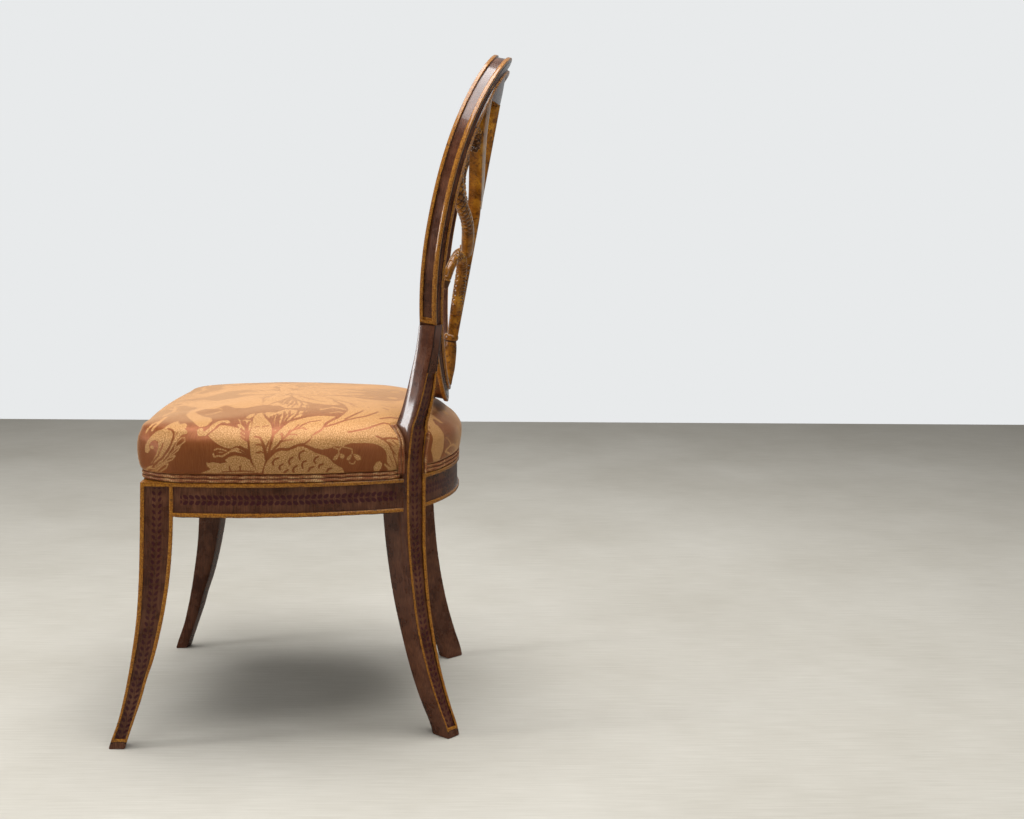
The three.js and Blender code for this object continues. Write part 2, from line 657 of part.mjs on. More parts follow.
// Splits the outline at the two stiles into the long front run and the short back run
function outlineRuns() {
  const { corner, turn, width } = rearLegAt(RAIL_TOP);
  const intoStile = (place) => {
    const local = plan(Math.abs(place.x), place.y).sub(corner);
    return -local.dot(sideOut(turn)) - width / 2;
  };
  const count = OUTLINE.length;
  const crossings = OUTLINE.map((place, index) => index).filter((index) => {
    const next = OUTLINE[(index + 1) % count];
    return intoStile(OUTLINE[index]) * intoStile(next) < 0;
  });
  const between = (index) => {
    const [here, next] = [OUTLINE[index], OUTLINE[(index + 1) % count]];
    const [depth, nextDepth] = [intoStile(here), intoStile(next)];
    return here.clone().lerp(next, depth / (depth - nextDepth));
  };
  const run = (from, to) => {
    const line = [between(from)];
    for (let index = from + 1; index <= (to > from ? to : to + count); index += 1) {
      line.push(OUTLINE[index % count]);
    }
    line.push(between(to));
    return line;
  };
  return { back: run(crossings[0], crossings[1]), front: run(crossings[1], crossings[0]) };
}

// A round bar between two places
function barBetween(from, to, radius) {
  const axis = to.clone().sub(from);
  const geometry = new THREE.CylinderGeometry(radius, radius, axis.length(), DOWEL_SIDES);
  const turn = new THREE.Quaternion().setFromUnitVectors(point(0, 1, 0), axis.clone().normalize());
  geometry.applyQuaternion(turn);
  const middle = from.clone().add(to).multiplyScalar(1 / 2);
  geometry.translate(middle.x, middle.y, middle.z);
  return toSolid(geometry);
}

// The finished chair's solids, each with its finish
const pieces = new Map();
const FINISHES = {
  lacquer: { color: 0x3b2019, roughness: 0.35, metalness: 0 },
  carving: { color: 0x8f5a17, roughness: 0.4, metalness: 0 },
  bare: { color: 0xb08a5c, roughness: 0.7, metalness: 0 },
  fabric: { color: 0xb06a3c, roughness: 0.6, metalness: 0 },
  welt: { color: 0x9a5a33, roughness: 0.7, metalness: 0 },
  cambric: { color: 0x1d1b1a, roughness: 0.95, metalness: 0 },
  steel: { color: 0x8c8c88, roughness: 0.35, metalness: 1 },
};

function keep(name, solid, finish) {
  pieces.set(name, { solid, finish });
}

function cut(names, cutter) {
  names.forEach((name) => {
    const piece = pieces.get(name);
    piece.solid = piece.solid.subtract(cutter);
  });
}

// Puts a dowel through the joint of the named pieces
function dowel(name, middle, direction, length, radius, names) {
  const half = direction.clone().normalize().multiplyScalar(length / 2);
  const gap = direction.clone().normalize().multiplyScalar(FIT_GAP);
  const from = middle.clone().sub(half);
  const to = middle.clone().add(half);
  cut(names, barBetween(from.clone().sub(gap), to.clone().add(gap), radius + FIT_GAP));
  keep(name, barBetween(from, to, radius), 'bare');
}

// The same joint on both sides; a name that ends in _right has a partner that ends in _left
function dowelPair(name, middle, direction, length, radius, names) {
  const mirror = (vector) => point(-vector.x, vector.y, vector.z);
  const others = names.map((piece) => piece.replace('_right', '_left'));
  dowel(`${name}_right`, middle, direction, length, radius, names);
  dowel(`${name}_left`, mirror(middle), mirror(direction), length, radius, others);
}

// Makes a piece for the right side and its mirror image for the left side
function keepPair(name, solid, finish) {
  keep(`${name}_right`, solid, finish);
  keep(`${name}_left`, mirrored(solid), finish);
}

// Both sides of a cut or a dowel
function cutPair(name, cutter) {
  cut([`${name}_right`], cutter);
  cut([`${name}_left`], mirrored(cutter));
}

// Legs and rails
const frontLegGrown = frontLegBody(FIT_GAP);
const rearLegGrown = rearLegBody(FIT_GAP);
const ringGrown = ringTrimmer(FIT_GAP, 0);
const ringOutside = ringTrimmer(FIT_GAP, RING_WIDTH);

function makeFrame() {
  const frontLeg = frontLegBody(0).subtract(frontLegPanel('side')).subtract(frontLegPanel('front'));
  keepPair('front_leg', frontLeg, 'lacquer');
  const rearLeg = rearLegBody(0).subtract(rearLegPanel()).subtract(ringGrown);
  keepPair('rear_leg', rearLeg, 'lacquer');

  const side = railBody(sideFace).subtract(frontLegGrown).subtract(rearLegGrown);
  const sideTenons = tenon(sideFace, 0, 0).add(tenon(sideFace, 1, 0));
  keepPair('side_rail', side.add(sideTenons), 'lacquer');
  cutPair('front_leg', tenon(sideFace, 0, FIT_GAP));
  cutPair('rear_leg', tenon(sideFace, 1, FIT_GAP));

  const otherFront = mirrored(frontLegGrown);
  const otherRear = mirrored(rearLegGrown);
  const front = railBody(frontFace).subtract(frontLegGrown).subtract(otherFront);
  keep('front_rail', front.add(tenon(frontFace, 0, 0)).add(tenon(frontFace, 1, 0)), 'lacquer');
  const back = railBody(backFace).subtract(rearLegGrown).subtract(otherRear);
  keep('back_rail', back.add(tenon(backFace, 0, 0)).add(tenon(backFace, 1, 0)), 'lacquer');
  cut(['front_leg_left', 'front_leg_right'], tenon(frontFace, 0, FIT_GAP).add(tenon(frontFace, 1, FIT_GAP)));
  cut(['rear_leg_left', 'rear_leg_right'], tenon(backFace, 0, FIT_GAP).add(tenon(backFace, 1, FIT_GAP)));
}

// The ring in four sawn segments, doweled end to end
function makeRing() {
  const outline = ringSection();
  const gap = FIT_GAP / RING_HALF_WIDTH / 2;
  keep('ring_crest', ringArc(CREST_ANGLE + gap, Math.PI - CREST_ANGLE - gap, outline), 'lacquer');
  keep('ring_foot', ringArc(-Math.PI - FOOT_ANGLE + gap, FOOT_ANGLE - gap, outline), 'lacquer');
  const upper = ringArc(0, CREST_ANGLE - gap, outline);
  const lower = ringArc(FOOT_ANGLE + gap, 0, outline);
  keepPair('ring_side', upper.add(lower), 'lacquer');
  const middle = (angle) => {
    const place = ovalAt(angle, RING_WIDTH / 2);
    return backPoint(place.x, place.y, -RING_DEPTH / 2);
  };
  [['crest', CREST_ANGLE], ['foot', FOOT_ANGLE]].forEach(([end, angle]) => {
    const nudge = DOWEL_RADIUS / RING_HALF_WIDTH;
    const along = middle(angle + nudge).sub(middle(angle - nudge));
    const joined = [`ring_${end}`, 'ring_side_right'];
    dowelPair(`${end}_dowel`, middle(angle), along, RING_DOWEL_LENGTH, DOWEL_RADIUS, joined);
  });
}

// One dowel through each stile's top into the ring
const STILE_DOWEL_SHARE = 0.27;

function makeStileDowels() {
  const angle = -Math.asin(STILE_JOINT_DROP / RING_LOWER) * (1 + STILE_DOWEL_SHARE);
  const outer = ovalAt(angle, 0);
  const inner = ovalAt(angle, RING_WIDTH);
  const from = backPoint(inner.x, inner.y, -RING_DEPTH / 2);
  const to = backPoint(outer.x, outer.y, -RING_DEPTH / 2);
  const along = to.clone().sub(from).normalize();
  const middle = to.clone().addScaledVector(along, -SMALL_DOWEL_RADIUS);
  const joined = ['ring_side_right', 'rear_leg_right'];
  dowelPair('stile_dowel', middle, along, STILE_DOWEL_LENGTH, SMALL_DOWEL_RADIUS, joined);
}

// Places on the splat: shares of the oval's inner half width and half height
const INNER_HALF_WIDTH = RING_HALF_WIDTH - RING_WIDTH;
const INNER_HALF_HEIGHT = RING_UPPER - RING_WIDTH;
const SPLAT_MIDDLE = -SPLAT_INSET - SPLAT_DEPTH / 2;
const YOKE_HALF_WIDTH = INNER_HALF_WIDTH * 5 / 8;
const YOKE_SPANS = 6;

// Shares of the drop: down its length, and radius
const DROP_SHARES = [[0.86, 0.36], [0.66, 0.66], [0.4, 0.86], [0.16, 0.95], [0, 0.9]];

// A flat-sawn strip of the splat between two edges given row by row: rise, from, to, thinned in front
function splatStrip(rows, grow = 0) {
  const outline = flat([[0, 0], [1, 0], [1, 1], [0, 1]]);
  const front = SPLAT_MIDDLE - SPLAT_DEPTH / 2 - grow;
  const back = SPLAT_MIDDLE + SPLAT_DEPTH / 2 + grow;
  const sections = rows.map(([rise, from, to, thinned = 0]) => [
    backPoint(from, rise, front + thinned), backPoint(to, rise, front + thinned),
    backPoint(to, rise, back), backPoint(from, rise, back),
  ]);
  return toSolid(loft(sections, outline));
}

// A level bar of the splat from side to side, bent round the barrel
function splatBar(low, high, half) {
  const outline = flat([[0, 0], [1, 0], [1, 1], [0, 1]]);
  const front = SPLAT_MIDDLE - SPLAT_DEPTH / 2;
  const back = SPLAT_MIDDLE + SPLAT_DEPTH / 2;
  const sections = steps(YOKE_SPANS).map((share) => {
    const across = mix(-half, half, share);
    return [
      backPoint(across, low, front), backPoint(across, low, back),
      backPoint(across, high, back), backPoint(across, high, front),
    ];
  });
  return toSolid(loft(sections, outline));
}

// Shares of an arm: rise between stem and ring, and outer edge out to the oval's half width
const ARM_SHARES = [
  [0, 0.215], [0.07, 0.3], [0.15, 0.4], [0.23, 0.49], [0.32, 0.57], [0.42, 0.635], [0.52, 0.68],
  [0.63, 0.705], [0.75, 0.715], [0.87, 0.71], [1, 0.7],
];

// Shares of the stem: rise from collar to top, half width, and thinning in front
const STEM_SHARES = [
  [0, 0.82, 1], [0.25, 0.95, 0.25], [0.4, 1, 0], [0.55, 1.08, 0], [0.75, 1.12, 0], [0.85, 1.35, 0],
  [0.93, 2.05, 0], [1, 3.5, 0],
];

function armRows() {
  const outer = smoothTable(ARM_SHARES, 1);
  const low = STEM_RISE + FIT_GAP;
  const high = RING_UPPER - RING_WIDTH / 2;
  return steps(SPLAT_STEPS).map((share) => {
    const edge = outer(share) * INNER_HALF_WIDTH;
    const nudge = 1 / SPLAT_STEPS;
    const slope = (outer(Math.min(share + nudge, 1)) - outer(Math.max(share - nudge, 0))) * INNER_HALF_WIDTH;
    const run = (Math.min(share + nudge, 1) - Math.max(share - nudge, 0)) * (high - low);
    const width = ARM_WIDTH * Math.hypot(slope, run) / run;
    return [mix(low, high, share), edge - width, edge];
  });
}

// Centre line of a swan neck and of a serpent, right side: across, rise, half width, half depth, forward
const NECK_SHARES = [
  [0.058, -0.56, 0.5, 0.8, 0], [0.076, -0.5, 0.8, 0.9, 0], [0.1, -0.42, 1, 0.9, 0.02],
  [0.135, -0.34, 1, 0.9, 0.05], [0.17, -0.26, 1, 0.85, 0.1], [0.235, -0.2, 0.95, 0.8, 0.15],
  [0.34, -0.17, 0.95, 0.75, 0.2], [0.46, -0.175, 0.95, 0.7, 0.22], [0.56, -0.205, 0.95, 0.65, 0.25],
  [0.63, -0.265, 1.1, 0.65, 0.28], [0.65, -0.325, 1.05, 0.6, 0.28], [0.64, -0.375, 0.3, 0.35, 0.28],
];
const SERPENT_SHARES = [
  [0.055, -0.155, 0.9, 0.85, 0], [0.14, -0.118, 1, 0.9, 0], [0.222, -0.071, 1, 0.95, 0],
  [0.32, -0.012, 1, 0.95, 0], [0.47, 0.058, 1, 0.95, 0], [0.64, 0.118, 1, 0.95, 0],
  [0.768, 0.17, 0.97, 0.95, 0], [0.845, 0.225, 0.93, 0.95, 0], [0.9, 0.3, 0.9, 0.9, 0],
  [0.92, 0.385, 0.85, 0.9, 0], [0.915, 0.47, 0.78, 0.8, 0], [0.875, 0.555, 0.7, 0.72, 0],
  [0.81, 0.6, 0.62, 0.65, 0], [0.75, 0.6, 0.55, 0.6, 0], [0.715, 0.56, 0.5, 0.55, 0],
  [0.735, 0.515, 0.42, 0.5, 0],
];
const ROUND_SIDES = 8;
const LIMB_FINENESS = 1.6;

// A rounded limb of the splat along its centre line
function splatLimb(shares, radius) {
  const places = shares.map(([across, rise]) => point(across * INNER_HALF_WIDTH, rise * INNER_HALF_HEIGHT, 0));
  const curve = new THREE.CatmullRomCurve3(places, false, 'centripetal');
  const last = shares.length - 1;
  const sizes = (share, column) => {
    const place = share * last;
    const index = Math.min(Math.floor(place), last - 1);
    return mix(shares[index][column], shares[index + 1][column], place - index);
  };
  const outline = Array.from({ length: ROUND_SIDES }, (_, side) => {
    const turn = (2 * Math.PI * side) / ROUND_SIDES;
    return plan(Math.cos(turn), Math.sin(turn));
  });
  const sections = steps(Math.round(last * LIMB_FINENESS)).map((share) => {
    const place = curve.getPoint(share);
    const along = curve.getTangent(share);
    const wide = radius * sizes(share, 2);
    const deep = (SPLAT_DEPTH / 2) * Math.min(sizes(share, 3), 1);
    return outline.map((corner) => backPoint(
      place.x + along.y * wide * corner.x,
      place.y - along.x * wide * corner.x,
      SPLAT_MIDDLE - SPLAT_DEPTH * sizes(share, 4) + deep * corner.y,
    ));
  });
  return toSolid(loft(sections, outline));
}

// The collar, square to the leaning stem, and the upright pointed drop under it
function makeLyreFoot() {
  const top = backPoint(0, -COLLAR_DROP, SPLAT_MIDDLE);
  const ease = COLLAR_HEIGHT / 4;
  const collar = new THREE.LatheGeometry([
    plan(0, -COLLAR_HEIGHT), plan(DROP_RADIUS, -COLLAR_HEIGHT), plan(COLLAR_RADIUS, -COLLAR_HEIGHT + ease),
    plan(COLLAR_RADIUS, -ease), plan(DROP_RADIUS, 0), plan(0, 0),
  ], 16);
  collar.rotateX(Math.PI / 2 - BACK_LEAN);
  collar.translate(top.x, top.y, top.z);
  const floor = backPoint(0, -RING_LOWER + RING_WIDTH, SPLAT_MIDDLE).z;
  const length = top.z - COLLAR_HEIGHT / 2 - floor;
  const drop = new THREE.LatheGeometry([
    plan(0, -length), plan(DROP_TIP_RADIUS, -length),
    ...DROP_SHARES.map(([down, wide]) => plan(DROP_RADIUS * wide, -length * down)), plan(0, 0),
  ], 16);
  drop.rotateX(Math.PI / 2);
  drop.translate(top.x, top.y, top.z - COLLAR_HEIGHT / 2);
  keep('lyre_foot', toSolid(collar).add(toSolid(drop)).subtract(ringGrown), 'carving');
}

function makeSplat() {
  makeLyreFoot();
  const bottom = -COLLAR_DROP + FIT_GAP;
  const stemRows = (grow) => STEM_SHARES.map(([share, wide, thin], index) => {
    const end = index === STEM_SHARES.length - 1 ? grow : 0;
    const half = STEM_HALF_WIDTH * wide + grow;
    return [mix(bottom, STEM_RISE, share) + end, -half, half, STEM_THINNING * thin];
  });
  keep('lyre_stem', splatStrip(stemRows(0)), 'carving');
  const stemGrown = splatStrip(stemRows(FIT_GAP), FIT_GAP);

  const arm = splatStrip(armRows()).subtract(ringOutside);
  keepPair('lyre_arm', arm, 'carving');
  const grownRows = armRows().map(([rise, from, to]) => [rise, from - FIT_GAP, to + FIT_GAP]);
  const armGrown = splatStrip(grownRows, FIT_GAP);
  const otherArm = mirrored(armGrown);

  const yoke = splatBar(YOKE_RISE, INNER_HALF_HEIGHT - FIT_GAP, YOKE_HALF_WIDTH);
  keep('lyre_yoke', yoke.subtract(armGrown).subtract(otherArm).subtract(ringOutside), 'lacquer');
  const bar = splatStrip([STEM_RISE + FIT_GAP, YOKE_RISE - FIT_GAP]
    .map((rise) => [rise, -BAR_HALF_WIDTH, BAR_HALF_WIDTH]));
  keep('lyre_bar', bar.subtract(armGrown).subtract(otherArm), 'carving');

  keepPair('swan_neck', splatLimb(NECK_SHARES, NECK_RADIUS).subtract(stemGrown), 'carving');
  const serpent = splatLimb(SERPENT_SHARES, SERPENT_RADIUS);
  keepPair('serpent', serpent.subtract(stemGrown).subtract(armGrown).subtract(ringGrown), 'carving');
}

// Shares of the inner half width or half height at which the splat's dowels sit
const YOKE_DOWEL_SHARE = 0.25;
const ARM_DOWEL_SHARE = 0.13;
const NECK_DOWEL_SHARE = -0.5;
const SERPENT_DOWEL_SHARE = 0.36;
const SERPENT_DOWEL_START_SHARE = 0.96;

// Dowels that join the splat's pieces to each other and to the ring
function makeSplatDowels() {
  const up = backPoint(0, STEM_RISE, 0).sub(backPoint(0, 0, 0));
  const join = (name, place, names) => dowel(name, place, up, SMALL_DOWEL_LENGTH, SMALL_DOWEL_RADIUS, names);
  join('stem_dowel', backPoint(0, -COLLAR_DROP, SPLAT_MIDDLE), ['lyre_foot', 'lyre_stem']);
  join('bar_dowel', backPoint(0, STEM_RISE, SPLAT_MIDDLE), ['lyre_bar', 'lyre_stem']);
  const armPlace = backPoint(ARM_DOWEL_SHARE * INNER_HALF_WIDTH, STEM_RISE, SPLAT_MIDDLE);
  dowelPair('arm_dowel', armPlace, up, SMALL_DOWEL_LENGTH, SMALL_DOWEL_RADIUS, ['lyre_arm_right', 'lyre_stem']);
  const across = YOKE_DOWEL_SHARE * INNER_HALF_WIDTH;
  const yokePlace = backPoint(across, ovalRise(across, RING_WIDTH), SPLAT_MIDDLE);
  dowelPair('yoke_dowel', yokePlace, up, RING_DOWEL_LENGTH, SMALL_DOWEL_RADIUS, ['lyre_yoke', 'ring_crest']);

  const neckRise = NECK_DOWEL_SHARE * INNER_HALF_HEIGHT;
  const neckPlace = backPoint(STEM_HALF_WIDTH, neckRise, SPLAT_MIDDLE);
  const sideways = neckPlace.clone().sub(backPoint(0, neckRise, SPLAT_MIDDLE));
  dowelPair('neck_dowel', neckPlace, sideways, NECK_RADIUS, PIN_RADIUS, ['swan_neck_right', 'lyre_stem']);
  const rise = SERPENT_DOWEL_SHARE * INNER_HALF_HEIGHT;
  const inner = backPoint(ovalHalfWidth(rise, RING_WIDTH) * SERPENT_DOWEL_START_SHARE, rise, SPLAT_MIDDLE);
  const outer = backPoint(ovalHalfWidth(rise, RING_WIDTH), rise, SPLAT_MIDDLE);
  const joined = ['serpent_right', 'ring_side_right'];
  dowelPair('serpent_dowel', outer, outer.clone().sub(inner), SMALL_DOWEL_LENGTH, PIN_RADIUS, joined);
}

// Corner blocks with their screws
function prism(corners, low, high) {
  const outline = flat(corners);
  const sections = [low, high].map((height) => corners.map(([across, along]) => point(across, along, height)));
  return toSolid(loft(sections, outline));
}

// The space inside the seat frame, a fit gap clear of the rails
function insideFrame() {
  const inward = -RAIL_THICKNESS - FIT_GAP;
  const half = [
    ...steps(RAIL_STEPS).slice(RAIL_STEPS / 2).map((share) => frontFace(share, inward)),
    ...steps(RAIL_STEPS).map((share) => sideFace(share, inward)),
    ...steps(RAIL_STEPS).slice(0, RAIL_STEPS / 2 + 1).map((share) => backFace(share, inward)),
  ];
  const frontInside = frontFace(1 / 2, inward).y;
  const sideInside = sideFace(0, inward).x;
  const kept = half.filter((place) => place.y > frontInside - FRONT_BOW || place.x < sideInside);
  const trimmed = kept.filter((place) => !(place.x > sideInside && place.y < frontCorner.y + RAIL_THICKNESS));
  const other = trimmed.slice(1, -1).reverse().map((place) => plan(-place.x, place.y));
  const corners = [...trimmed, ...other].map((place) => [place.x, place.y]);
  return prism(corners, RAIL_BOTTOM - OVERRUN, RAIL_TOP + OVERRUN);
}

function screwSolid(from, direction, grow) {
  const profile = [
    plan(0, -grow), plan(SCREW_HEAD_RADIUS + grow, -grow), plan(SCREW_HEAD_RADIUS + grow, 0),
    plan(SCREW_RADIUS + grow, SCREW_HEAD_HEIGHT), plan(SCREW_RADIUS + grow, SCREW_LENGTH - SCREW_HEAD_HEIGHT),
    plan(0, SCREW_LENGTH + grow),
  ];
  if (grow === 0) profile.splice(1, 2, plan(SCREW_HEAD_RADIUS, 0));
  const geometry = new THREE.LatheGeometry(profile, 10);
  const turn = new THREE.Quaternion().setFromUnitVectors(point(0, 1, 0), direction);
  geometry.applyQuaternion(turn);
  geometry.translate(from.x, from.y, from.z);
  return toSolid(geometry);
}

// A block and its two screws on the right side, then the same on the left
function makeBlock(place, block, leg, screwPlace, screwDirection) {
  keepPair(`${place}_block`, block, 'bare');
  const middle = (RAIL_TOP + RAIL_BOTTOM) / 2;
  ['lower', 'upper'].forEach((level, index) => {
    const height = middle + (index - 1 / 2) * SCREW_SPACING;
    const from = point(screwPlace.x, screwPlace.y, height);
    const direction = point(screwDirection.x, screwDirection.y, 0).normalize();
    const hole = screwSolid(from, direction, FIT_GAP);
    cutPair(`${place}_block`, hole);
    cutPair(leg, hole);
    keepPair(`${place}_screw_${level}`, screwSolid(from, direction, 0), 'steel');
  });
}

function makeBlocks() {
  const low = (RAIL_TOP + RAIL_BOTTOM - BLOCK_HEIGHT) / 2;
  const high = low + BLOCK_HEIGHT;
  const inside = insideFrame();
  const cornerX = sideFace(0, -RAIL_THICKNESS).x + SIDE_BOW;
  const cornerY = frontFace(1 / 2, -RAIL_THICKNESS).y;
  const corner = frontLegAt(RAIL_TOP);
  const diagonal = plan(1, -1).normalize();
  const meet = plan(corner.inner, corner.back);
  const faceMiddle = meet.clone().addScaledVector(diagonal, -BLOCK_THICKNESS);
  const reach = plan(1, 1).normalize().multiplyScalar(BLOCK_LEG);
  const frontBlock = prism([
    [faceMiddle.x - reach.x, faceMiddle.y - reach.y], [cornerX, cornerY - RAIL_THICKNESS],
    [faceMiddle.x + reach.x, faceMiddle.y + reach.y],
  ], low, high).intersect(inside).subtract(frontLegGrown);
  makeBlock('front', frontBlock, 'front_leg', faceMiddle, diagonal);

  const { turn, depth, width } = rearLegAt(RAIL_TOP);
  const inner = onRearLeg(RAIL_TOP, width / 2, depth + FIT_GAP);
  const out = panelOut(turn);
  const along = sideOut(turn).multiplyScalar(BLOCK_LEG);
  const near = plan(inner.x, inner.y);
  const far = near.clone().addScaledVector(out, -BLOCK_THICKNESS);
  const rearBlock = prism([
    [near.x + along.x, near.y + along.y], [near.x - along.x, near.y - along.y],
    [far.x - along.x, far.y - along.y], [far.x + along.x, far.y + along.y],
  ], low, high).intersect(inside).subtract(rearLegGrown);
  makeBlock('rear', rearBlock, 'rear_leg', far, out);
}

// Deck, cushion, welts and dust cover
function makeUpholstery() {
  const otherRear = mirrored(rearLegGrown);
  const clearOfLegs = (solid) => solid.subtract(rearLegGrown).subtract(otherRear);
  keep('seat_deck', clearOfLegs(plate(RAIL_TOP + FIT_GAP, DECK_TOP, -DECK_INSET)), 'bare');
  keep('seat_cushion', clearOfLegs(cushionBody()), 'fabric');
  [['side', SIDE_NOTCH_SHARES], ['rear', REAR_NOTCH_SHARES]].forEach(([face, shares]) => {
    const room = notchWelt(shares, face, FIT_GAP);
    cut(['seat_cushion'], room);
    cut(['seat_cushion'], mirrored(room));
    keepPair(`notch_welt_${face}`, notchWelt(shares, face, 0), 'welt');
  });
  const cushion = pieces.get('seat_cushion');
  cushion.solid = mainBody(cushion.solid);
  const runs = outlineRuns();
  keep('welt_front', clearOfLegs(edgeWelt(runs.front)), 'welt');
  keep('welt_back', clearOfLegs(edgeWelt(runs.back)), 'welt');
  const cover = plate(RAIL_BOTTOM - FIT_GAP - DUST_COVER, RAIL_BOTTOM - FIT_GAP, -DUST_INSET);
  keep('dust_cover', clearOfLegs(cover).subtract(frontLegGrown).subtract(mirrored(frontLegGrown)), 'cambric');
}

makeFrame();
makeRing();
makeStileDowels();
makeSplat();
makeSplatDowels();
makeBlocks();
makeUpholstery();

// The scene graph, with its origin under the middle of the chair
const chair = new THREE.Group();
pieces.forEach(({ solid, finish }, name) => {
  const mesh = new THREE.Mesh(toGeometry(solid), new THREE.MeshStandardMaterial(FINISHES[finish]));
  mesh.name = name;
  chair.add(mesh);
});
const box = new THREE.Box3().setFromObject(chair);
chair.position.y = -(box.min.y + box.max.y) / 2;
chair.updateMatrixWorld(true);

export default chair;
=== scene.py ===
# %% [markdown]
# # A lyre back dining chair
# The chair is lacquered wood with ochre edge lines, a carved amber splat and a tight damask seat.
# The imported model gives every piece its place. The new pieces repeat its measures and add what a
# maker adds last: eased edges, mouldings, carving, cord, cloth and finish.

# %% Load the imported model
import math
import bpy
import numpy as np
from mathutils import Matrix, Vector


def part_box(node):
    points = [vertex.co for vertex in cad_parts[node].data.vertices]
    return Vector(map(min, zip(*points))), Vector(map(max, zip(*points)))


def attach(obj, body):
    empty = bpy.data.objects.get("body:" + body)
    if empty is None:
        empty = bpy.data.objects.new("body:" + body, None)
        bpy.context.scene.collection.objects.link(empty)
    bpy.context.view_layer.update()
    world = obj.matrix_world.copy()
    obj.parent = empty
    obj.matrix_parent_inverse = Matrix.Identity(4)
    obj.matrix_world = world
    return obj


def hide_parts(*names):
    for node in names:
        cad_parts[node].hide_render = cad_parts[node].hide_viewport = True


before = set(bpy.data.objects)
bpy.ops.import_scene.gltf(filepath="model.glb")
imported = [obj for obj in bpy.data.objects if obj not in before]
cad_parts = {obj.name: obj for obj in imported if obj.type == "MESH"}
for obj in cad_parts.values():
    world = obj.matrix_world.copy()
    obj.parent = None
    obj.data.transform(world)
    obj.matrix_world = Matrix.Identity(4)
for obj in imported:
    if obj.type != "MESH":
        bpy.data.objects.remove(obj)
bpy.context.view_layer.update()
print("nodes", len(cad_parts))

# %% [markdown]
# ## Camera
# The photograph looks at the chair's right side from a little above the seat, with a short tele lens.
# The camera comes first, so that every later piece can be judged from it at once. It rolls about half
# a degree, as the photograph's own horizon does.

# %% Camera
CAMERA_PLACE = (2.2722, 0.2381, 0.790)
CAMERA_AIM = (-0.9893, 0.0237, -0.1438)
CAMERA_ROLL = math.radians(0.54)
CAMERA_LENS = 51.57      # millimetres on a sensor of the width below
SENSOR_WIDTH = 36


def placed(name, data):
    """A new object with the given data, linked to the scene."""
    made = bpy.data.objects.new(name, data)
    bpy.context.scene.collection.objects.link(made)
    return made


camera_data = bpy.data.cameras.new("camera")
camera_data.lens = CAMERA_LENS
camera_data.sensor_width = SENSOR_WIDTH
camera_data.sensor_fit = "HORIZONTAL"
camera = placed("camera", camera_data)
aim = Vector(CAMERA_AIM).to_track_quat("-Z", "Y").to_matrix().to_4x4()
camera.matrix_world = Matrix.Translation(CAMERA_PLACE) @ aim @ Matrix.Rotation(CAMERA_ROLL, 4, "Z")
bpy.context.scene.camera = camera
print("camera at", CAMERA_PLACE)

# %% [markdown]
# ## From numbers to meshes
# Every new piece is a grid of points: rows along the piece, columns round its section. One builder
# turns such a grid into a mesh with a UV map in millimetres and named values on its points, which
# the materials read. Grids keep the seams where a maker would have an edge. Modelling by hand would
# give the same shapes, but not the same measures as the solids.

# %% Mesh builder
MM = 0.001
FRONT_TIP = -296.5       # the front feet's tips, in the measures used here
CENTRE_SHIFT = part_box("front_leg_right")[0][1] / MM - FRONT_TIP
SHARP_ANGLE = math.radians(38)       # edges that turn more stay sharp


def outward(points, quads):
    """Turns the quads round if the volume they close (sum of a x b . c over the corners) is negative."""
    a, b, c, d = (points[quads[:, k]] for k in range(4))
    volume = np.einsum("ij,ij->", np.cross(a, b), c) + np.einsum("ij,ij->", np.cross(a, c), d)
    return quads if volume > 0 else quads[:, ::-1]


def seam_uv(across, along):
    """UV grid in millimetres, with the first column once more at the end, to close the seam."""
    both = np.stack([across, along], -1)
    return np.concatenate([both, both[:, :1]], 1)


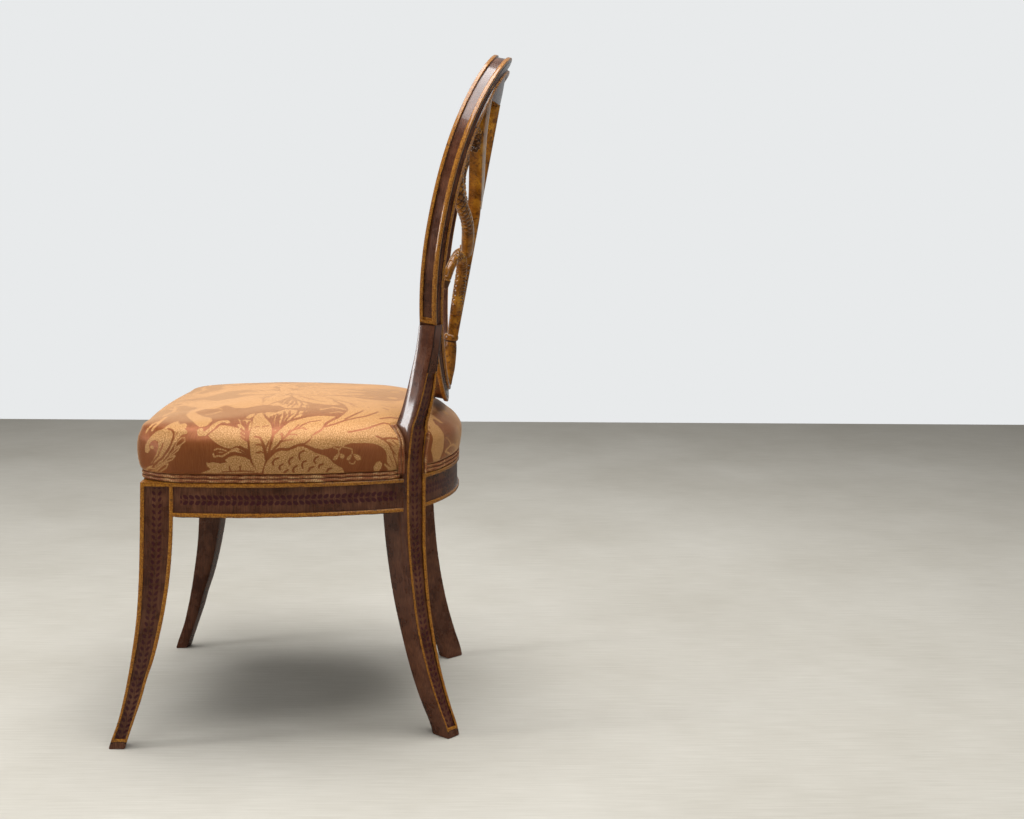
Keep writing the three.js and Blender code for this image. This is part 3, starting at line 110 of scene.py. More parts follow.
def make_piece(name, grid, slot, material, caps=True, values=None, uv=None, replaces=True):
    """Skins a grid (rows x columns x 3, millimetres) with quads: corner (i, j) joins (i, j + 1),
    (i + 1, j + 1) and (i + 1, j). The grid closes on its first column, and caps close both ends."""
    rows, columns = grid.shape[:2]
    points = grid.reshape(-1, 3)
    i, j = np.meshgrid(np.arange(rows - 1), np.arange(columns), indexing="ij")
    here, after = i * columns + j, i * columns + (j + 1) % columns
    quads = np.stack([here, after, after + columns, here + columns], -1).reshape(-1, 4)
    uv_grid = np.zeros((rows, columns + 1, 2)) if uv is None else uv
    corner_uv = np.stack([uv_grid[i, j], uv_grid[i, j + 1], uv_grid[i + 1, j + 1], uv_grid[i + 1, j]], 2)
    corner_uv = corner_uv.reshape(-1, 4, 2)
    turned = outward(points, quads)
    if turned is not quads:
        corner_uv = corner_uv[:, ::-1]
    loops = turned.ravel()
    sizes = np.full(len(turned), 4)
    uvs = corner_uv.reshape(-1, 2)
    if caps:
        first = np.arange(columns)
        last = (rows - 1) * columns + np.arange(columns)
        ends = [first[::-1], last] if turned is quads else [first, last[::-1]]
        loops = np.concatenate([loops, *ends])
        sizes = np.concatenate([sizes, [columns, columns]])
        uvs = np.concatenate([uvs, np.zeros((2 * columns, 2))])
    mesh = bpy.data.meshes.new(name)
    mesh.vertices.add(len(points))
    place = points + np.array([0, CENTRE_SHIFT, 0])
    mesh.vertices.foreach_set("co", (place * MM).ravel())
    mesh.loops.add(len(loops))
    mesh.loops.foreach_set("vertex_index", loops)
    mesh.polygons.add(len(sizes))
    mesh.polygons.foreach_set("loop_start", np.concatenate([[0], np.cumsum(sizes)[:-1]]))
    mesh.update(calc_edges=True)
    mesh.uv_layers.new(name="millimetres").data.foreach_set("uv", uvs.ravel())
    for key, value in (values or {}).items():
        field = mesh.attributes.new(key, "FLOAT", "POINT")
        field.data.foreach_set("value", np.broadcast_to(value, (rows, columns)).ravel().astype(np.float32))
    mesh.polygons.foreach_set("use_smooth", np.ones(len(sizes), bool))
    mesh.set_sharp_from_angle(angle=SHARP_ANGLE)
    mesh.materials.append(material)
    piece = placed(name, mesh)
    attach(piece, "root")
    if replaces:
        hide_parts(name)
    print(name, len(points), "points")
    return piece


def both_sides(name, grid, *rest, **more):
    """Makes the right piece and, with x turned to -x, the left one."""
    for side, sign in (("right", 1), ("left", -1)):
        make_piece(f"{name}_{side}", grid * np.array([sign, 1, 1]), *rest, **more)


# %% [markdown]
# ## Curves through given places
# A leg's curve was read at ten heights. A cubic through those readings, whose slope at each is the
# mean of its two neighbours' slopes, gives a sweep without kinks. A maker does the same with a thin
# batten bent round nails.

# %% Smooth curves
def smooth_table(shares, column):
    """Cubic through one column of a table over its first column, with mean slopes at the rows."""
    places = np.array([row[0] for row in shares], float)
    values = np.array([row[column] for row in shares], float)
    slopes = np.diff(values) / np.diff(places)
    tangents = np.concatenate([slopes[:1], (slopes[1:] + slopes[:-1]) / 2, slopes[-1:]])

    def curve(place):
        place = np.clip(place, places[0], places[-1])
        row = np.clip(np.searchsorted(places, place, side="right") - 1, 0, len(places) - 2)
        step = places[row + 1] - places[row]
        t = (place - places[row]) / step
        start = (1 + 2 * t) * (1 - t) ** 2 * values[row] + t * (1 - t) ** 2 * step * tangents[row]
        end = t**2 * (3 - 2 * t) * values[row + 1] + t**2 * (t - 1) * step * tangents[row + 1]
        return start + end

    return curve


def spline(points, place, closed=False):
    """Centripetal Catmull-Rom curve: between two points a cubic whose end slopes come from their
    neighbours, spaced by the square root of the distances. place counts points, so 2.5 is half way
    from the third to the fourth."""
    points = np.asarray(points, float)
    if closed:
        padded = np.concatenate([points[-1:], points, points[:2]])
    else:
        padded = np.concatenate([2 * points[:1] - points[1:2], points, 2 * points[-1:] - points[-2:-1]])
    index = np.clip(np.floor(place).astype(int), 0, len(padded) - 4)
    t = (place - index)[:, None]
    p0, p1, p2, p3 = (padded[index + k] for k in range(4))
    gap = [np.sqrt(np.linalg.norm(b - a, axis=1))[:, None] for a, b in ((p0, p1), (p1, p2), (p2, p3))]
    into = ((p1 - p0) / gap[0] - (p2 - p0) / (gap[0] + gap[1]) + (p2 - p1) / gap[1]) * gap[1]
    away = ((p2 - p1) / gap[1] - (p3 - p1) / (gap[1] + gap[2]) + (p3 - p2) / gap[2]) * gap[1]
    cubic = 2 * p1 - 2 * p2 + into + away
    square = -3 * p1 + 3 * p2 - 2 * into - away
    return p1 + into * t + square * t**2 + cubic * t**3


def run_length(line):
    """Distance run along a row of points."""
    return np.concatenate([[0], np.cumsum(np.linalg.norm(np.diff(line, axis=0), axis=1))])


def mix(low, high, share):
    return low + (high - low) * share


def unit(vectors):
    """Each vector divided by its length."""
    return vectors / np.linalg.norm(vectors, axis=-1, keepdims=True)


def eased(share):
    """3 s^2 - 2 s^3: from 0 to 1, level at both ends."""
    return share**2 * (3 - 2 * share)


def full_turn(count):
    """Evenly spaced angles of a full circle."""
    return np.linspace(0, 2 * math.pi, count, endpoint=False)


# %% [markdown]
# ## Nodes and colours
# Each finish is a small tree of nodes. One function adds a node, and a few short ones name the steps
# that come back in every finish: noise, a span of values, a colour laid over another. Colours are
# written in sRGB hex, as they are read off a screen, and turned to the linear values of light.

# %% Colour and node helpers
def linear(colour):
    """sRGB hex to linear: ((c + 0.055) / 1.055) to the power 2.4 above the short straight start."""
    parts = np.array([int(colour[k:k + 2], 16) / 255 for k in (1, 3, 5)])
    curved = ((parts + 0.055) / 1.055) ** 2.4
    return (*np.where(parts <= 0.04045, parts / 12.92, curved).tolist(), 1)


def new_material(name):
    """A new material and its tree, emptied."""
    material = bpy.data.materials.new(name)
    material.use_nodes = True
    material.node_tree.nodes.clear()
    return material, material.node_tree


def add(tree, kind, inputs=None, **settings):
    """Adds a node. A setting is one of its properties; an input is a value or another node's output."""
    made = tree.nodes.new("ShaderNode" + kind)
    for key, value in settings.items():
        setattr(made, key, value)
    for key, value in (inputs or {}).items():
        if isinstance(value, bpy.types.NodeSocket):
            tree.links.new(value, made.inputs[key])
        else:
            made.inputs[key].default_value = value
    return made


def object_place(tree):
    """The object's own coordinates, in metres."""
    return add(tree, "TexCoord").outputs["Object"]


def cloth_place(tree):
    """The UV map, in millimetres."""
    return add(tree, "UVMap", uv_map="millimetres").outputs[0]


def point_value(tree, name):
    """A value that the mesh carries on its points."""
    return add(tree, "Attribute", attribute_name=name).outputs["Fac"]


def turned_away(tree):
    """0 where a surface faces the eye, 1 where it is seen edge on."""
    return add(tree, "LayerWeight").outputs["Facing"]


def stretched(tree, place, scale, turn=0.0):
    """A place with each axis scaled, turned about z."""
    return add(tree, "Mapping", {"Vector": place, "Scale": scale, "Rotation": (0, 0, turn)}).outputs[0]


def noise(tree, place, scale, detail, roughness=0.5):
    """Fractal noise round 1/2; scale is the number of lumps in one unit of the place."""
    settings = {"Vector": place, "Scale": scale, "Detail": detail, "Roughness": roughness}
    return add(tree, "TexNoise", settings).outputs[0]


def span(tree, value, low, high, start, end):
    """start up to low, end from high, and straight between."""
    return add(tree, "MapRange", {0: value, 1: low, 2: high, 3: start, 4: end}).outputs[0]


def calculate(tree, operation, *values):
    """One step of arithmetic, such as ADD or MULTIPLY_ADD."""
    return add(tree, "Math", dict(enumerate(values)), operation=operation).outputs[0]


def between(tree, share, low, high):
    """Mixes two values by a share."""
    return add(tree, "Mix", {0: share, 2: low, 3: high}).outputs[0]


def painted(tree, share, under, over, blend="MIX"):
    """Lays one colour over another by a share; hex colours are turned linear."""
    under, over = (linear(colour) if isinstance(colour, str) else colour for colour in (under, over))
    return add(tree, "Mix", {0: share, 6: under, 7: over}, data_type="RGBA", blend_type=blend).outputs[2]


def ramp(tree, value, *colours):
    """Colours by a value: each is a place from 0 to 1 and a hex colour or a grey from 0 to 1."""
    made = add(tree, "ValToRGB", {0: value})
    points = made.color_ramp.elements
    while len(points) < len(colours):
        points.new(0.5)
    for point, (place, colour) in zip(points, colours):
        point.position = place
        point.color = linear(colour) if isinstance(colour, str) else (colour, colour, colour, 1)
    return made.outputs[0]


def relief(tree, height, strength, depth):
    """Bumps a surface by a height; depth is metres for a height of 1."""
    return add(tree, "Bump", {"Strength": strength, "Distance": depth, "Height": height}).outputs[0]


def skin(tree, sockets):
    """Closes a tree with one principled shader; sockets holds its values by name."""
    shader = add(tree, "BsdfPrincipled", sockets)
    add(tree, "OutputMaterial", {0: shader.outputs[0]})


# %% [markdown]
# ## Dark lacquer with ochre lines
# The frame is mahogany under a tinted lacquer, rubbed until it shines. Its raised edges are painted
# ochre, and the paint has worn brown where hands and feet touch it. A dark red laurel is stencilled
# in the panels, and the panel is painted darker beside each lip as shade in the recess. The lines and
# the laurel follow the section, so the mesh carries them as values, and noise only frays their edges;
# a picture would blur at the thin lips.

# %% Lacquer material
def lacquer_material():
    """Brown lacquer, laurel where figure > 0 (mm) and ochre where gilt > 1/2, both frayed by noise; painted
    shade by the lips.
    """
    material, tree = new_material("tinted lacquer on mahogany")
    place = object_place(tree)
    cloud = noise(tree, place, 34.0, 5.0, 0.6)
    fleck = noise(tree, place, 420.0, 2.0)
    pores = noise(tree, stretched(tree, place, (900, 900, 60)), 1.0, 3.0)
    ground = ramp(tree, cloud, (0.3, "#4a2616"), (0.52, "#633a25"), (0.72, "#794c34"))
    streak = ramp(tree, pores, (0.38, 0.62), (0.62, 1.12))
    grained = painted(tree, 1.0, ground, streak, "MULTIPLY")

    frayed = calculate(tree, "MULTIPLY_ADD", fleck, 1.2, -0.6)
    leaf = calculate(tree, "ADD", point_value(tree, "figure"), frayed)
    with_leaf = painted(tree, span(tree, leaf, -0.2, 0.25, 0.0, 0.9), grained, "#3f0d18")

    gilt = point_value(tree, "gilt")
    worn = span(tree, noise(tree, place, 95.0, 6.0, 0.7), 0.34, 0.46, -0.42, 0.06)
    gilt_mask = span(tree, calculate(tree, "ADD", gilt, worn), 0.55, 0.72, 0.0, 1.0)
    # painted shade: the panel turns dark brown in the recess beside each lip
    lip_shade = span(tree, gilt, 0.04, 0.3, 0.0, 0.8)
    shaded_beside_lips = painted(tree, lip_shade, with_leaf, "#1d0e08")
    ochre = ramp(tree, fleck, (0.3, "#74440d"), (0.5, "#a06419"), (0.7, "#b87e26"))
    colour = painted(tree, gilt_mask, shaded_beside_lips, ochre)

    rough = calculate(tree, "MULTIPLY_ADD", gilt_mask, 0.16, span(tree, cloud, 0.3, 0.7, 0.2, 0.4))
    height = calculate(tree, "ADD", noise(tree, place, 130.0, 3.0), pores)
    skin(tree, {"Base Color": colour, "Roughness": rough, "Normal": relief(tree, height, 0.22, 0.0008),
                "Specular IOR Level": 0.25, "Coat Weight": 0.7, "Coat Roughness": 0.1})
    return material


lacquer = lacquer_material()
print("material:", lacquer.name)

# %% [markdown]
# ## Sections with lips and a sunk panel
# A leg is square in section with eased corners. Its show faces have two raised lips with a panel
# sunk 3 mm between them. Each column of the grid is a share of a face plus so many lip widths and
# millimetres, so the lips keep their width while the leg tapers. That is how a scratch stock works.

# %% Four-sided sections
LIP = 6.0                # width of a raised lip
PANEL_DEPTH = 3.0        # under the lips
EASE = 1.5               # radius that sandpaper leaves on an edge
PANEL_COLUMNS = 24
FOOT_BAND = 15.0         # height of the plain band below a leg's panel
BAND_WIDTH = 4.5
WORN_FOOT = 7.0          # below this height the gilt is worn off
LEG_LAUREL = (9.0, 8.4, 8.6, 4.6)    # pitch, reach, and a leaf's length and width
RAIL_LAUREL = (8.6, 8.2, 8.8, 5.4)
LEAF_INSET = 0.25
NO_FIGURE = -3.0         # far outside any leaf

# columns of a face: share of its length, lips, millimetres, depth, panel depth, gilt
ROUND_OFF = [(1, 0, -0.3 * EASE, 0.3 * EASE, 0, 1)]
PLAIN_FACE = [(0, 0, EASE, 0, 0, 0), (0.33, 0, 0, 0, 0, 0), (0.67, 0, 0, 0, 0, 0), (1, 0, -EASE, 0, 0, 0),
              (1, 0, -0.3 * EASE, 0.3 * EASE, 0, 0)]
PANEL_FACE = [
    (0, 0, EASE, 0, 0, 1), (0, 1, -1, 0, 0, 1), (0, 1, -0.2, 0, 0.2, 1), (0, 1, 0.1, 0, 1, 0),
    *[(s, 1 - 2 * s, 0, 0, 1, 0) for s in np.linspace(0.03, 0.97, PANEL_COLUMNS)],
    (1, -1, -0.1, 0, 1, 0), (1, -1, 0.2, 0, 0.2, 1), (1, -1, 1, 0, 0, 1), (1, 0, -EASE, 0, 0, 1), *ROUND_OFF,
]


def four_sided(corners, axis, lips, faces, window):
    """Grid, gilt and distance from the face's middle for a four-sided bar. corners: rows x 4 x 3; a
    column's point is its corner, moved along the face by share x length + lips + millimetres, and
    inward by its depth."""
    grids, gilts, middles = [], [], []
    for side, face in enumerate(faces):
        start, end = corners[:, side], corners[:, (side + 1) % 4]
        along = end - start
        length = np.linalg.norm(along, axis=1, keepdims=True)
        along = along / length
        out = unit(np.cross(along, axis))
        share, lip_count, step, fixed, sunk, gilt = np.array(face, float).T
        place = share * length + lip_count * lips[:, None] + step
        depth = fixed + sunk * PANEL_DEPTH * window[:, None]
        grids.append(start[:, None] + along[:, None] * place[..., None] - out[:, None] * depth[..., None])
        gilts.append(np.broadcast_to(gilt, place.shape))
        middles.append(place - length / 2)
    return np.concatenate(grids, 1), np.concatenate(gilts, 1), np.concatenate(middles, 1)


def laurel(across, along, pitch, reach, length, width, lean=0.62):
    """Signed distance (mm, positive inside) into a garland: in every cell of the run, an ellipse leans
    away from the stem on each side; the stem is a line 1 mm wide."""
    cell = (along / pitch + 0.5) % 1 * pitch - pitch / 2
    side = np.abs(across) - reach / 2
    forward = cell * math.cos(lean) + side * math.sin(lean)
    sideways = side * math.cos(lean) - cell * math.sin(lean)
    leaf = width / 2 * (1 - np.hypot(2 * forward / length, 2 * sideways / width))
    return np.maximum(leaf, 0.45 - np.abs(across))


def leg_values(height, gilt, middle, along, window, panels, band_above=math.inf, worn_above=math.inf):
    """Gilt and laurel on a leg. A gilt band closes the panels over the foot, and one above a height at
    the rail; the gilt is worn off at the floor, and leaves grow only in the panels."""
    level = height[:, None]
    show = np.arange(gilt.shape[1]) < panels * len(PANEL_FACE)
    band = (level > band_above) | ((level > FOOT_BAND - BAND_WIDTH) & (level < FOOT_BAND + 0.3))
    gilt = np.where(band & show, 1.0, gilt) * np.clip((level - WORN_FOOT) / 6, 0, 1)
    gilt = np.where(level > worn_above, gilt * 0.3, gilt)
    in_panel = show & (gilt < 0.5) & (window[:, None] > 0.9)
    leaf = laurel(middle, along, *LEG_LAUREL) - LEAF_INSET
    return {"gilt": gilt, "figure": np.where(in_panel, leaf, NO_FIGURE)}


# %% [markdown]
# ## Front legs
# The front legs are sabre legs: they drop straight from the rail and sweep forward to a small foot.
# They are sawn from thick stock and spokeshaved. The grid's rows are horizontal slices, placed
# closer where the panel starts and ends, so its ends stay crisp.

# %% Front legs
RAIL_TOP = 388.0
RAIL_BOTTOM = 339.0
FRONT_FACE = 243.0       # the legs' front faces stand at y = -243
FRONT_HALF_WIDTH = 240.0
FRONT_LEG_SPLAY = 9.0
FRONT_LEG_DEPTH = 46.5
FRONT_LEG_WIDTH = 36.0
FRONT_FOOT_DEPTH = 23.6
FRONT_FOOT_WIDTH = 22.0
FRONT_LEG_SKEW = 8.5     # the rear face is cut square to the bowed side rail
FRONT_LEG_SWEEP = 53.5
FOOT_EASE = 1.6
LEG_ROWS = 240
FRONT_LEG_SHARES = [
    [0, 1, 0], [0.036, 0.914, 0], [0.112, 0.716, -0.02], [0.19, 0.57, 0.1], [0.265, 0.45, 0.19],
    [0.34, 0.348, 0.39], [0.49, 0.183, 0.64], [0.64, 0.093, 0.87], [0.79, 0.045, 1], [1, 0, 1],
]
front_sweep = smooth_table(FRONT_LEG_SHARES, 1)
front_depth = smooth_table(FRONT_LEG_SHARES, 2)


def slices(top, *edges):
    """Heights of a leg's rows: even steps, with close ones round every panel edge and the foot."""
    close = [edge + step for edge in edges for step in (-0.5, 0, 0.6, 1.2)]
    return np.unique(np.concatenate([np.linspace(0, top, LEG_ROWS), [0.6, FOOT_EASE], close]).clip(0, top))


def window_between(height, low, high):
    """1 between two heights, 0 outside, with a slope of 0.6 mm."""
    return np.clip((height - low) / 0.6, 0, 1) * np.clip((high - height) / 0.6, 0, 1)


def eased_foot(corners, height):
    """Draws the lowest rows in towards their middle, so that the foot's edge is rounded."""
    middle = corners.mean(1, keepdims=True)
    inset = 1 - 0.07 * np.sqrt(np.clip(1 - height / FOOT_EASE, 0, 1))[:, None, None]
    moved = middle + (corners - middle) * inset
    moved[..., 2] = corners[..., 2]
    return moved


height = slices(RAIL_TOP, FOOT_BAND, RAIL_TOP - LIP)
share = height / RAIL_TOP
leg_front = -FRONT_FACE - FRONT_LEG_SWEEP * front_sweep(share)
leg_back = leg_front + mix(FRONT_FOOT_DEPTH, FRONT_LEG_DEPTH, front_depth(share))
leg_width = mix(FRONT_FOOT_WIDTH, FRONT_LEG_WIDTH, share)
leg_outer = FRONT_HALF_WIDTH + FRONT_LEG_SPLAY * (1 - share)
leg_inner = leg_outer - leg_width
skewed = leg_back - FRONT_LEG_SKEW * leg_width / FRONT_LEG_WIDTH
corners = np.stack([
    np.stack([leg_inner, leg_front, height], -1), np.stack([leg_outer, leg_front, height], -1),
    np.stack([leg_outer, leg_back, height], -1), np.stack([leg_inner, skewed, height], -1),
], 1)
lips = np.minimum(LIP, (leg_back - leg_front) / LIP)
window = window_between(height, FOOT_BAND, RAIL_TOP - LIP)
grid, gilt, middle = four_sided(
    eased_foot(corners, height), (0, 0, 1), lips, [PANEL_FACE, PANEL_FACE, PLAIN_FACE, PLAIN_FACE], window)
along = run_length(np.stack([leg_outer, leg_front, height], -1))[:, None] * np.ones_like(middle)
values = leg_values(height, gilt, middle, along, window, 2, band_above=RAIL_TOP - LIP)
both_sides("front_leg", grid, "dark_wood", lacquer, values=values, uv=seam_uv(middle, along))

# %% [markdown]
# ## The back's curved plane
# The oval is bent round an upright barrel whose hollow side faces the sitter, and the whole leans
# back about ten degrees. All pieces of the back are drawn flat, across and up, and laid on that
# barrel by one function, as a maker lays out a curved back on bent stock.

# %% Back plane and oval
RING_HALF_WIDTH = 210.0
RING_UPPER = 263.7       # half heights over and under the centre
RING_LOWER = 267.4
RING_CENTRE_HEIGHT = 736.1
RING_CENTRE_BACK = 232.1
RING_WIDTH = 25.2
RING_DEPTH = 26.8
BACK_LEAN = math.radians(10.3)
BACK_SAG = 53.5          # depth of the barrel's hollow over the ring's width
BARREL_RADIUS = (RING_HALF_WIDTH**2 + BACK_SAG**2) / (2 * BACK_SAG)
UPPER_SQUARENESS = 2.35
LOWER_SQUARENESS = 2.02
CREST_ANGLE = math.radians(50)       # where the segments' joints are
FOOT_ANGLE = math.radians(-56)
STILE_JOINT_DROP = 134.0 # from the centre down to the stile's joint
LEAN_AXIS = np.array([0, math.sin(BACK_LEAN), math.cos(BACK_LEAN)])


def back_point(across, rise, behind):
    """A place of the back: across runs round the barrel (angle = arcsin(across / radius)), rise goes up
    the lean, behind is measured out of the barrel."""
    across, rise, behind = np.broadcast_arrays(across, rise, behind)
    turn = np.arcsin(across / BARREL_RADIUS)
    radius = BARREL_RADIUS + behind
    depth = radius * np.cos(turn) - BARREL_RADIUS
    return np.stack([
        radius * np.sin(turn),
        RING_CENTRE_BACK + rise * math.sin(BACK_LEAN) + depth * math.cos(BACK_LEAN),
        RING_CENTRE_HEIGHT + rise * math.cos(BACK_LEAN) - depth * math.sin(BACK_LEAN),
    ], -1)


def oval_at(angle, inward):
    """The oval: cosine and sine, each raised to 2 / squareness, times the half axes less inward."""
    across, rise = np.cos(angle), np.sin(angle)
    power = 2 / np.where(rise >= 0, UPPER_SQUARENESS, LOWER_SQUARENESS)
    half = np.where(rise >= 0, RING_UPPER, RING_LOWER)
    return ((RING_HALF_WIDTH - inward) * np.sign(across) * np.abs(across) ** power,
            (half - inward) * np.sign(rise) * np.abs(rise) ** power)


def oval_half_width(rise, inward):
    """Half the oval's width at one rise."""
    power = np.where(rise >= 0, UPPER_SQUARENESS, LOWER_SQUARENESS)
    half = np.where(rise >= 0, RING_UPPER, RING_LOWER) - inward
    return (RING_HALF_WIDTH - inward) * (1 - np.abs(rise / half) ** power) ** (1 / power)


# %% [markdown]
# ## Rear legs and stiles
# Each rear leg and its stile are one piece of wood, sawn from a wide board. Below the rail it stands
# turned in plan, so that its panelled face looks backward and outward; above, it turns square to the
# ring and its plain face runs into the ring's edge.

# %% Rear legs
REAR_HALF_WIDTH = 206.0
REAR_LEG_SPLAY = 3.0
REAR_CORNER = 129.0      # y of the outer corner at the rail
REAR_LEG_SWEEP = 61.5
REAR_LEG_TURN = math.radians(42)
REAR_LEG_DEPTH = 50.0
REAR_LEG_WIDTH = 40.0
REAR_FOOT_DEPTH = 33.0
REAR_FOOT_WIDTH = 24.0
KNEE_HEIGHT = 463.0
KNEE_DEPTH = 30.5
STILE_TIP = 5.0          # the stile ends this far under its joint's middle
REAR_LEG_SHARES = [
    [0, 1, 0, 0], [0.045, 0.945, 0.04, 0.02], [0.134, 0.77, 0.12, 0.12], [0.223, 0.607, 0.15, 0.25],
    [0.312, 0.467, 0.16, 0.36], [0.49, 0.247, 0.24, 0.6], [0.62, 0.15, 0.5, 0.66], [0.84, 0.034, 0.78, 0.84],
    [1, 0, 1, 1],
]
STILE_SHARES = [
    [0, 0, 1, 0, 0], [0.129, 0.036, 0.99, 0.36, 0.12], [0.27, 0.115, 0.93, 0.82, 0.1],
    [0.347, 0.19, 0.86, 1, 0.28], [0.4, 0.298, 0.78, 1.04, 0.36], [0.53, 0.512, 0.55, 1.11, 0.46],
    [0.676, 0.7, 0.33, 1.17, 0.72], [0.828, 0.875, 0.13, 1.22, 1.02], [1, 1, 0, 1.23, 1],
]
rear_sweep, rear_depth, rear_width = (smooth_table(REAR_LEG_SHARES, k) for k in (1, 2, 3))
stile_lean, stile_turn, stile_depth, stile_width = (smooth_table(STILE_SHARES, k) for k in (1, 2, 3, 4))
JOINT_ACROSS = float(oval_half_width(-STILE_JOINT_DROP, 0))
JOINT_PLACE = back_point(JOINT_ACROSS, -STILE_JOINT_DROP, 0)
JOINT_TURN = math.asin(JOINT_ACROSS / BARREL_RADIUS)


def rear_leg_at(height):
    """Outer corner (x, y), turn, and widths of the plain and of the panelled face at given heights."""
    low = np.clip(height / RAIL_BOTTOM, 0, 1)
    up = np.clip((height - RAIL_TOP) / (JOINT_PLACE[2] - RAIL_TOP), 0, 1)
    leg = (REAR_HALF_WIDTH + REAR_LEG_SPLAY * (1 - low),
           REAR_CORNER + REAR_LEG_SWEEP * rear_sweep(low),
           REAR_LEG_TURN,
           mix(REAR_FOOT_DEPTH, REAR_LEG_DEPTH, rear_depth(low)),
           mix(REAR_FOOT_WIDTH, REAR_LEG_WIDTH, rear_width(low)))
    stile = (mix(JOINT_PLACE[0], REAR_HALF_WIDTH, 1 - up**2),
             mix(REAR_CORNER, JOINT_PLACE[1], stile_lean(up)),
             mix(JOINT_TURN, REAR_LEG_TURN, stile_turn(up)),
             mix(REAR_LEG_DEPTH, KNEE_DEPTH, stile_depth(up)),
             mix(REAR_LEG_WIDTH, RING_WIDTH, stile_width(up)))
    return tuple(np.where(height <= RAIL_TOP, below, above) for below, above in zip(leg, stile))


def on_rear_leg(height, from_side, from_panel):
    """A place so far in from the plain face and from the panelled face, both along their normals."""
    x, y, turn, _, _ = rear_leg_at(height)
    return np.stack([x - np.cos(turn) * from_side - np.sin(turn) * from_panel,
                     y + np.sin(turn) * from_side - np.cos(turn) * from_panel,
                     np.broadcast_to(height, x.shape)], -1)


PANEL_TOP = KNEE_HEIGHT + (JOINT_PLACE[2] - KNEE_HEIGHT) / 2
height = slices(JOINT_PLACE[2] - STILE_TIP, FOOT_BAND, PANEL_TOP)
_, _, _, leg_depth, leg_width = rear_leg_at(height)
corners = np.stack([on_rear_leg(height, 0, 0), on_rear_leg(height, leg_width, 0),
                    on_rear_leg(height, leg_width, leg_depth), on_rear_leg(height, 0, leg_depth)], 1)
lips = np.minimum(LIP, leg_width / LIP)
window = window_between(height, FOOT_BAND, PANEL_TOP)
grid, gilt, middle = four_sided(
    eased_foot(corners, height), (0, 0, 1), lips, [PANEL_FACE, PLAIN_FACE, PLAIN_FACE, PLAIN_FACE], window)
along = run_length(corners[:, 0])[:, None] * np.ones_like(middle)
values = leg_values(height, gilt, middle, along, window, 1, worn_above=PANEL_TOP + 3)
both_sides("rear_leg", grid, "dark_wood", lacquer, values=values, uv=seam_uv(middle, along))

# %% [markdown]
# ## Seat rails
# Four bowed rails join the legs. Each is cut to its curve and carries the same moulding: two ochre
# lips with a panel between them, and a laurel whose leaves point from the middle to both ends. The
# section is carried along an arc in plan; the ends stop just inside the legs, as shoulders do.

# %% Rails
RAIL_THICKNESS = 25.0
RAIL_SETBACK = 1.5       # the rails' corner stands this far behind the legs' faces
BACK_FACE = 201.5
FRONT_BOW = 14.0
SIDE_BOW = 23.0
BACK_BOW = 52.0
SHOULDER = 3.0           # a rail's end lies this far inside the leg's face
GARLAND_END = 12.0       # the garland stops this far from the rail's end
RAIL_ROWS = 280


def bowed_line(start, end, bow):
    """A circle's arc through two places in plan; bow is its height over the chord, offset grows the
    radius. Gives x and y at a share from 0 to 1."""
    start, end = np.array(start, float), np.array(end, float)
    half = np.linalg.norm(end - start) / 2
    radius = (half**2 + bow**2) / (2 * bow)
    along = (end - start) / (2 * half)
    out = np.array([along[1], -along[0]])
    centre = (start + end) / 2 + out * (bow - radius)
    reach = math.asin(half / radius)

    def at(share, offset):
        turn = mix(-reach, reach, np.asarray(share, float))[..., None]
        grown = radius + np.asarray(offset, float)[..., None]
        return centre + along * grown * np.sin(turn) + out * grown * np.cos(turn)

    return at


_, _, _, _, rail_leg_width = rear_leg_at(np.array(RAIL_TOP))
side_end = on_rear_leg(np.array(RAIL_TOP), 0, LIP)
back_end = on_rear_leg(np.array(RAIL_TOP), rail_leg_width, LIP)
front_corner = (FRONT_HALF_WIDTH - RAIL_SETBACK, -FRONT_FACE + RAIL_SETBACK)
side_face = bowed_line((front_corner[0], -FRONT_FACE + FRONT_LEG_DEPTH / 2), side_end[:2], SIDE_BOW)
front_face = bowed_line((-front_corner[0], front_corner[1]), front_corner, FRONT_BOW)
back_face = bowed_line((back_end[0], BACK_FACE - BACK_BOW), (-back_end[0], BACK_FACE - BACK_BOW), BACK_BOW)

rail_panel = np.linspace(RAIL_TOP - LIP - 1, RAIL_BOTTOM + LIP + 1, 30)
RAIL_SECTION = np.array([
    (-RAIL_THICKNESS, RAIL_TOP, 0), (-EASE, RAIL_TOP, 1), (-0.3 * EASE, RAIL_TOP - 0.3 * EASE, 1),
    (0, RAIL_TOP - EASE, 1), (0, RAIL_TOP - LIP + 1, 1), (-0.5, RAIL_TOP - LIP + 0.2, 1),
    (-PANEL_DEPTH, RAIL_TOP - LIP - 0.1, 0),
    *[(-PANEL_DEPTH, high, 0) for high in rail_panel],
    (-PANEL_DEPTH, RAIL_BOTTOM + LIP + 0.1, 0), (-0.5, RAIL_BOTTOM + LIP - 0.2, 1),
    (0, RAIL_BOTTOM + LIP - 1, 1), (0, RAIL_BOTTOM + EASE, 1), (-0.3 * EASE, RAIL_BOTTOM + 0.3 * EASE, 1),
    (-EASE, RAIL_BOTTOM, 1), (-RAIL_THICKNESS, RAIL_BOTTOM, 0),
])


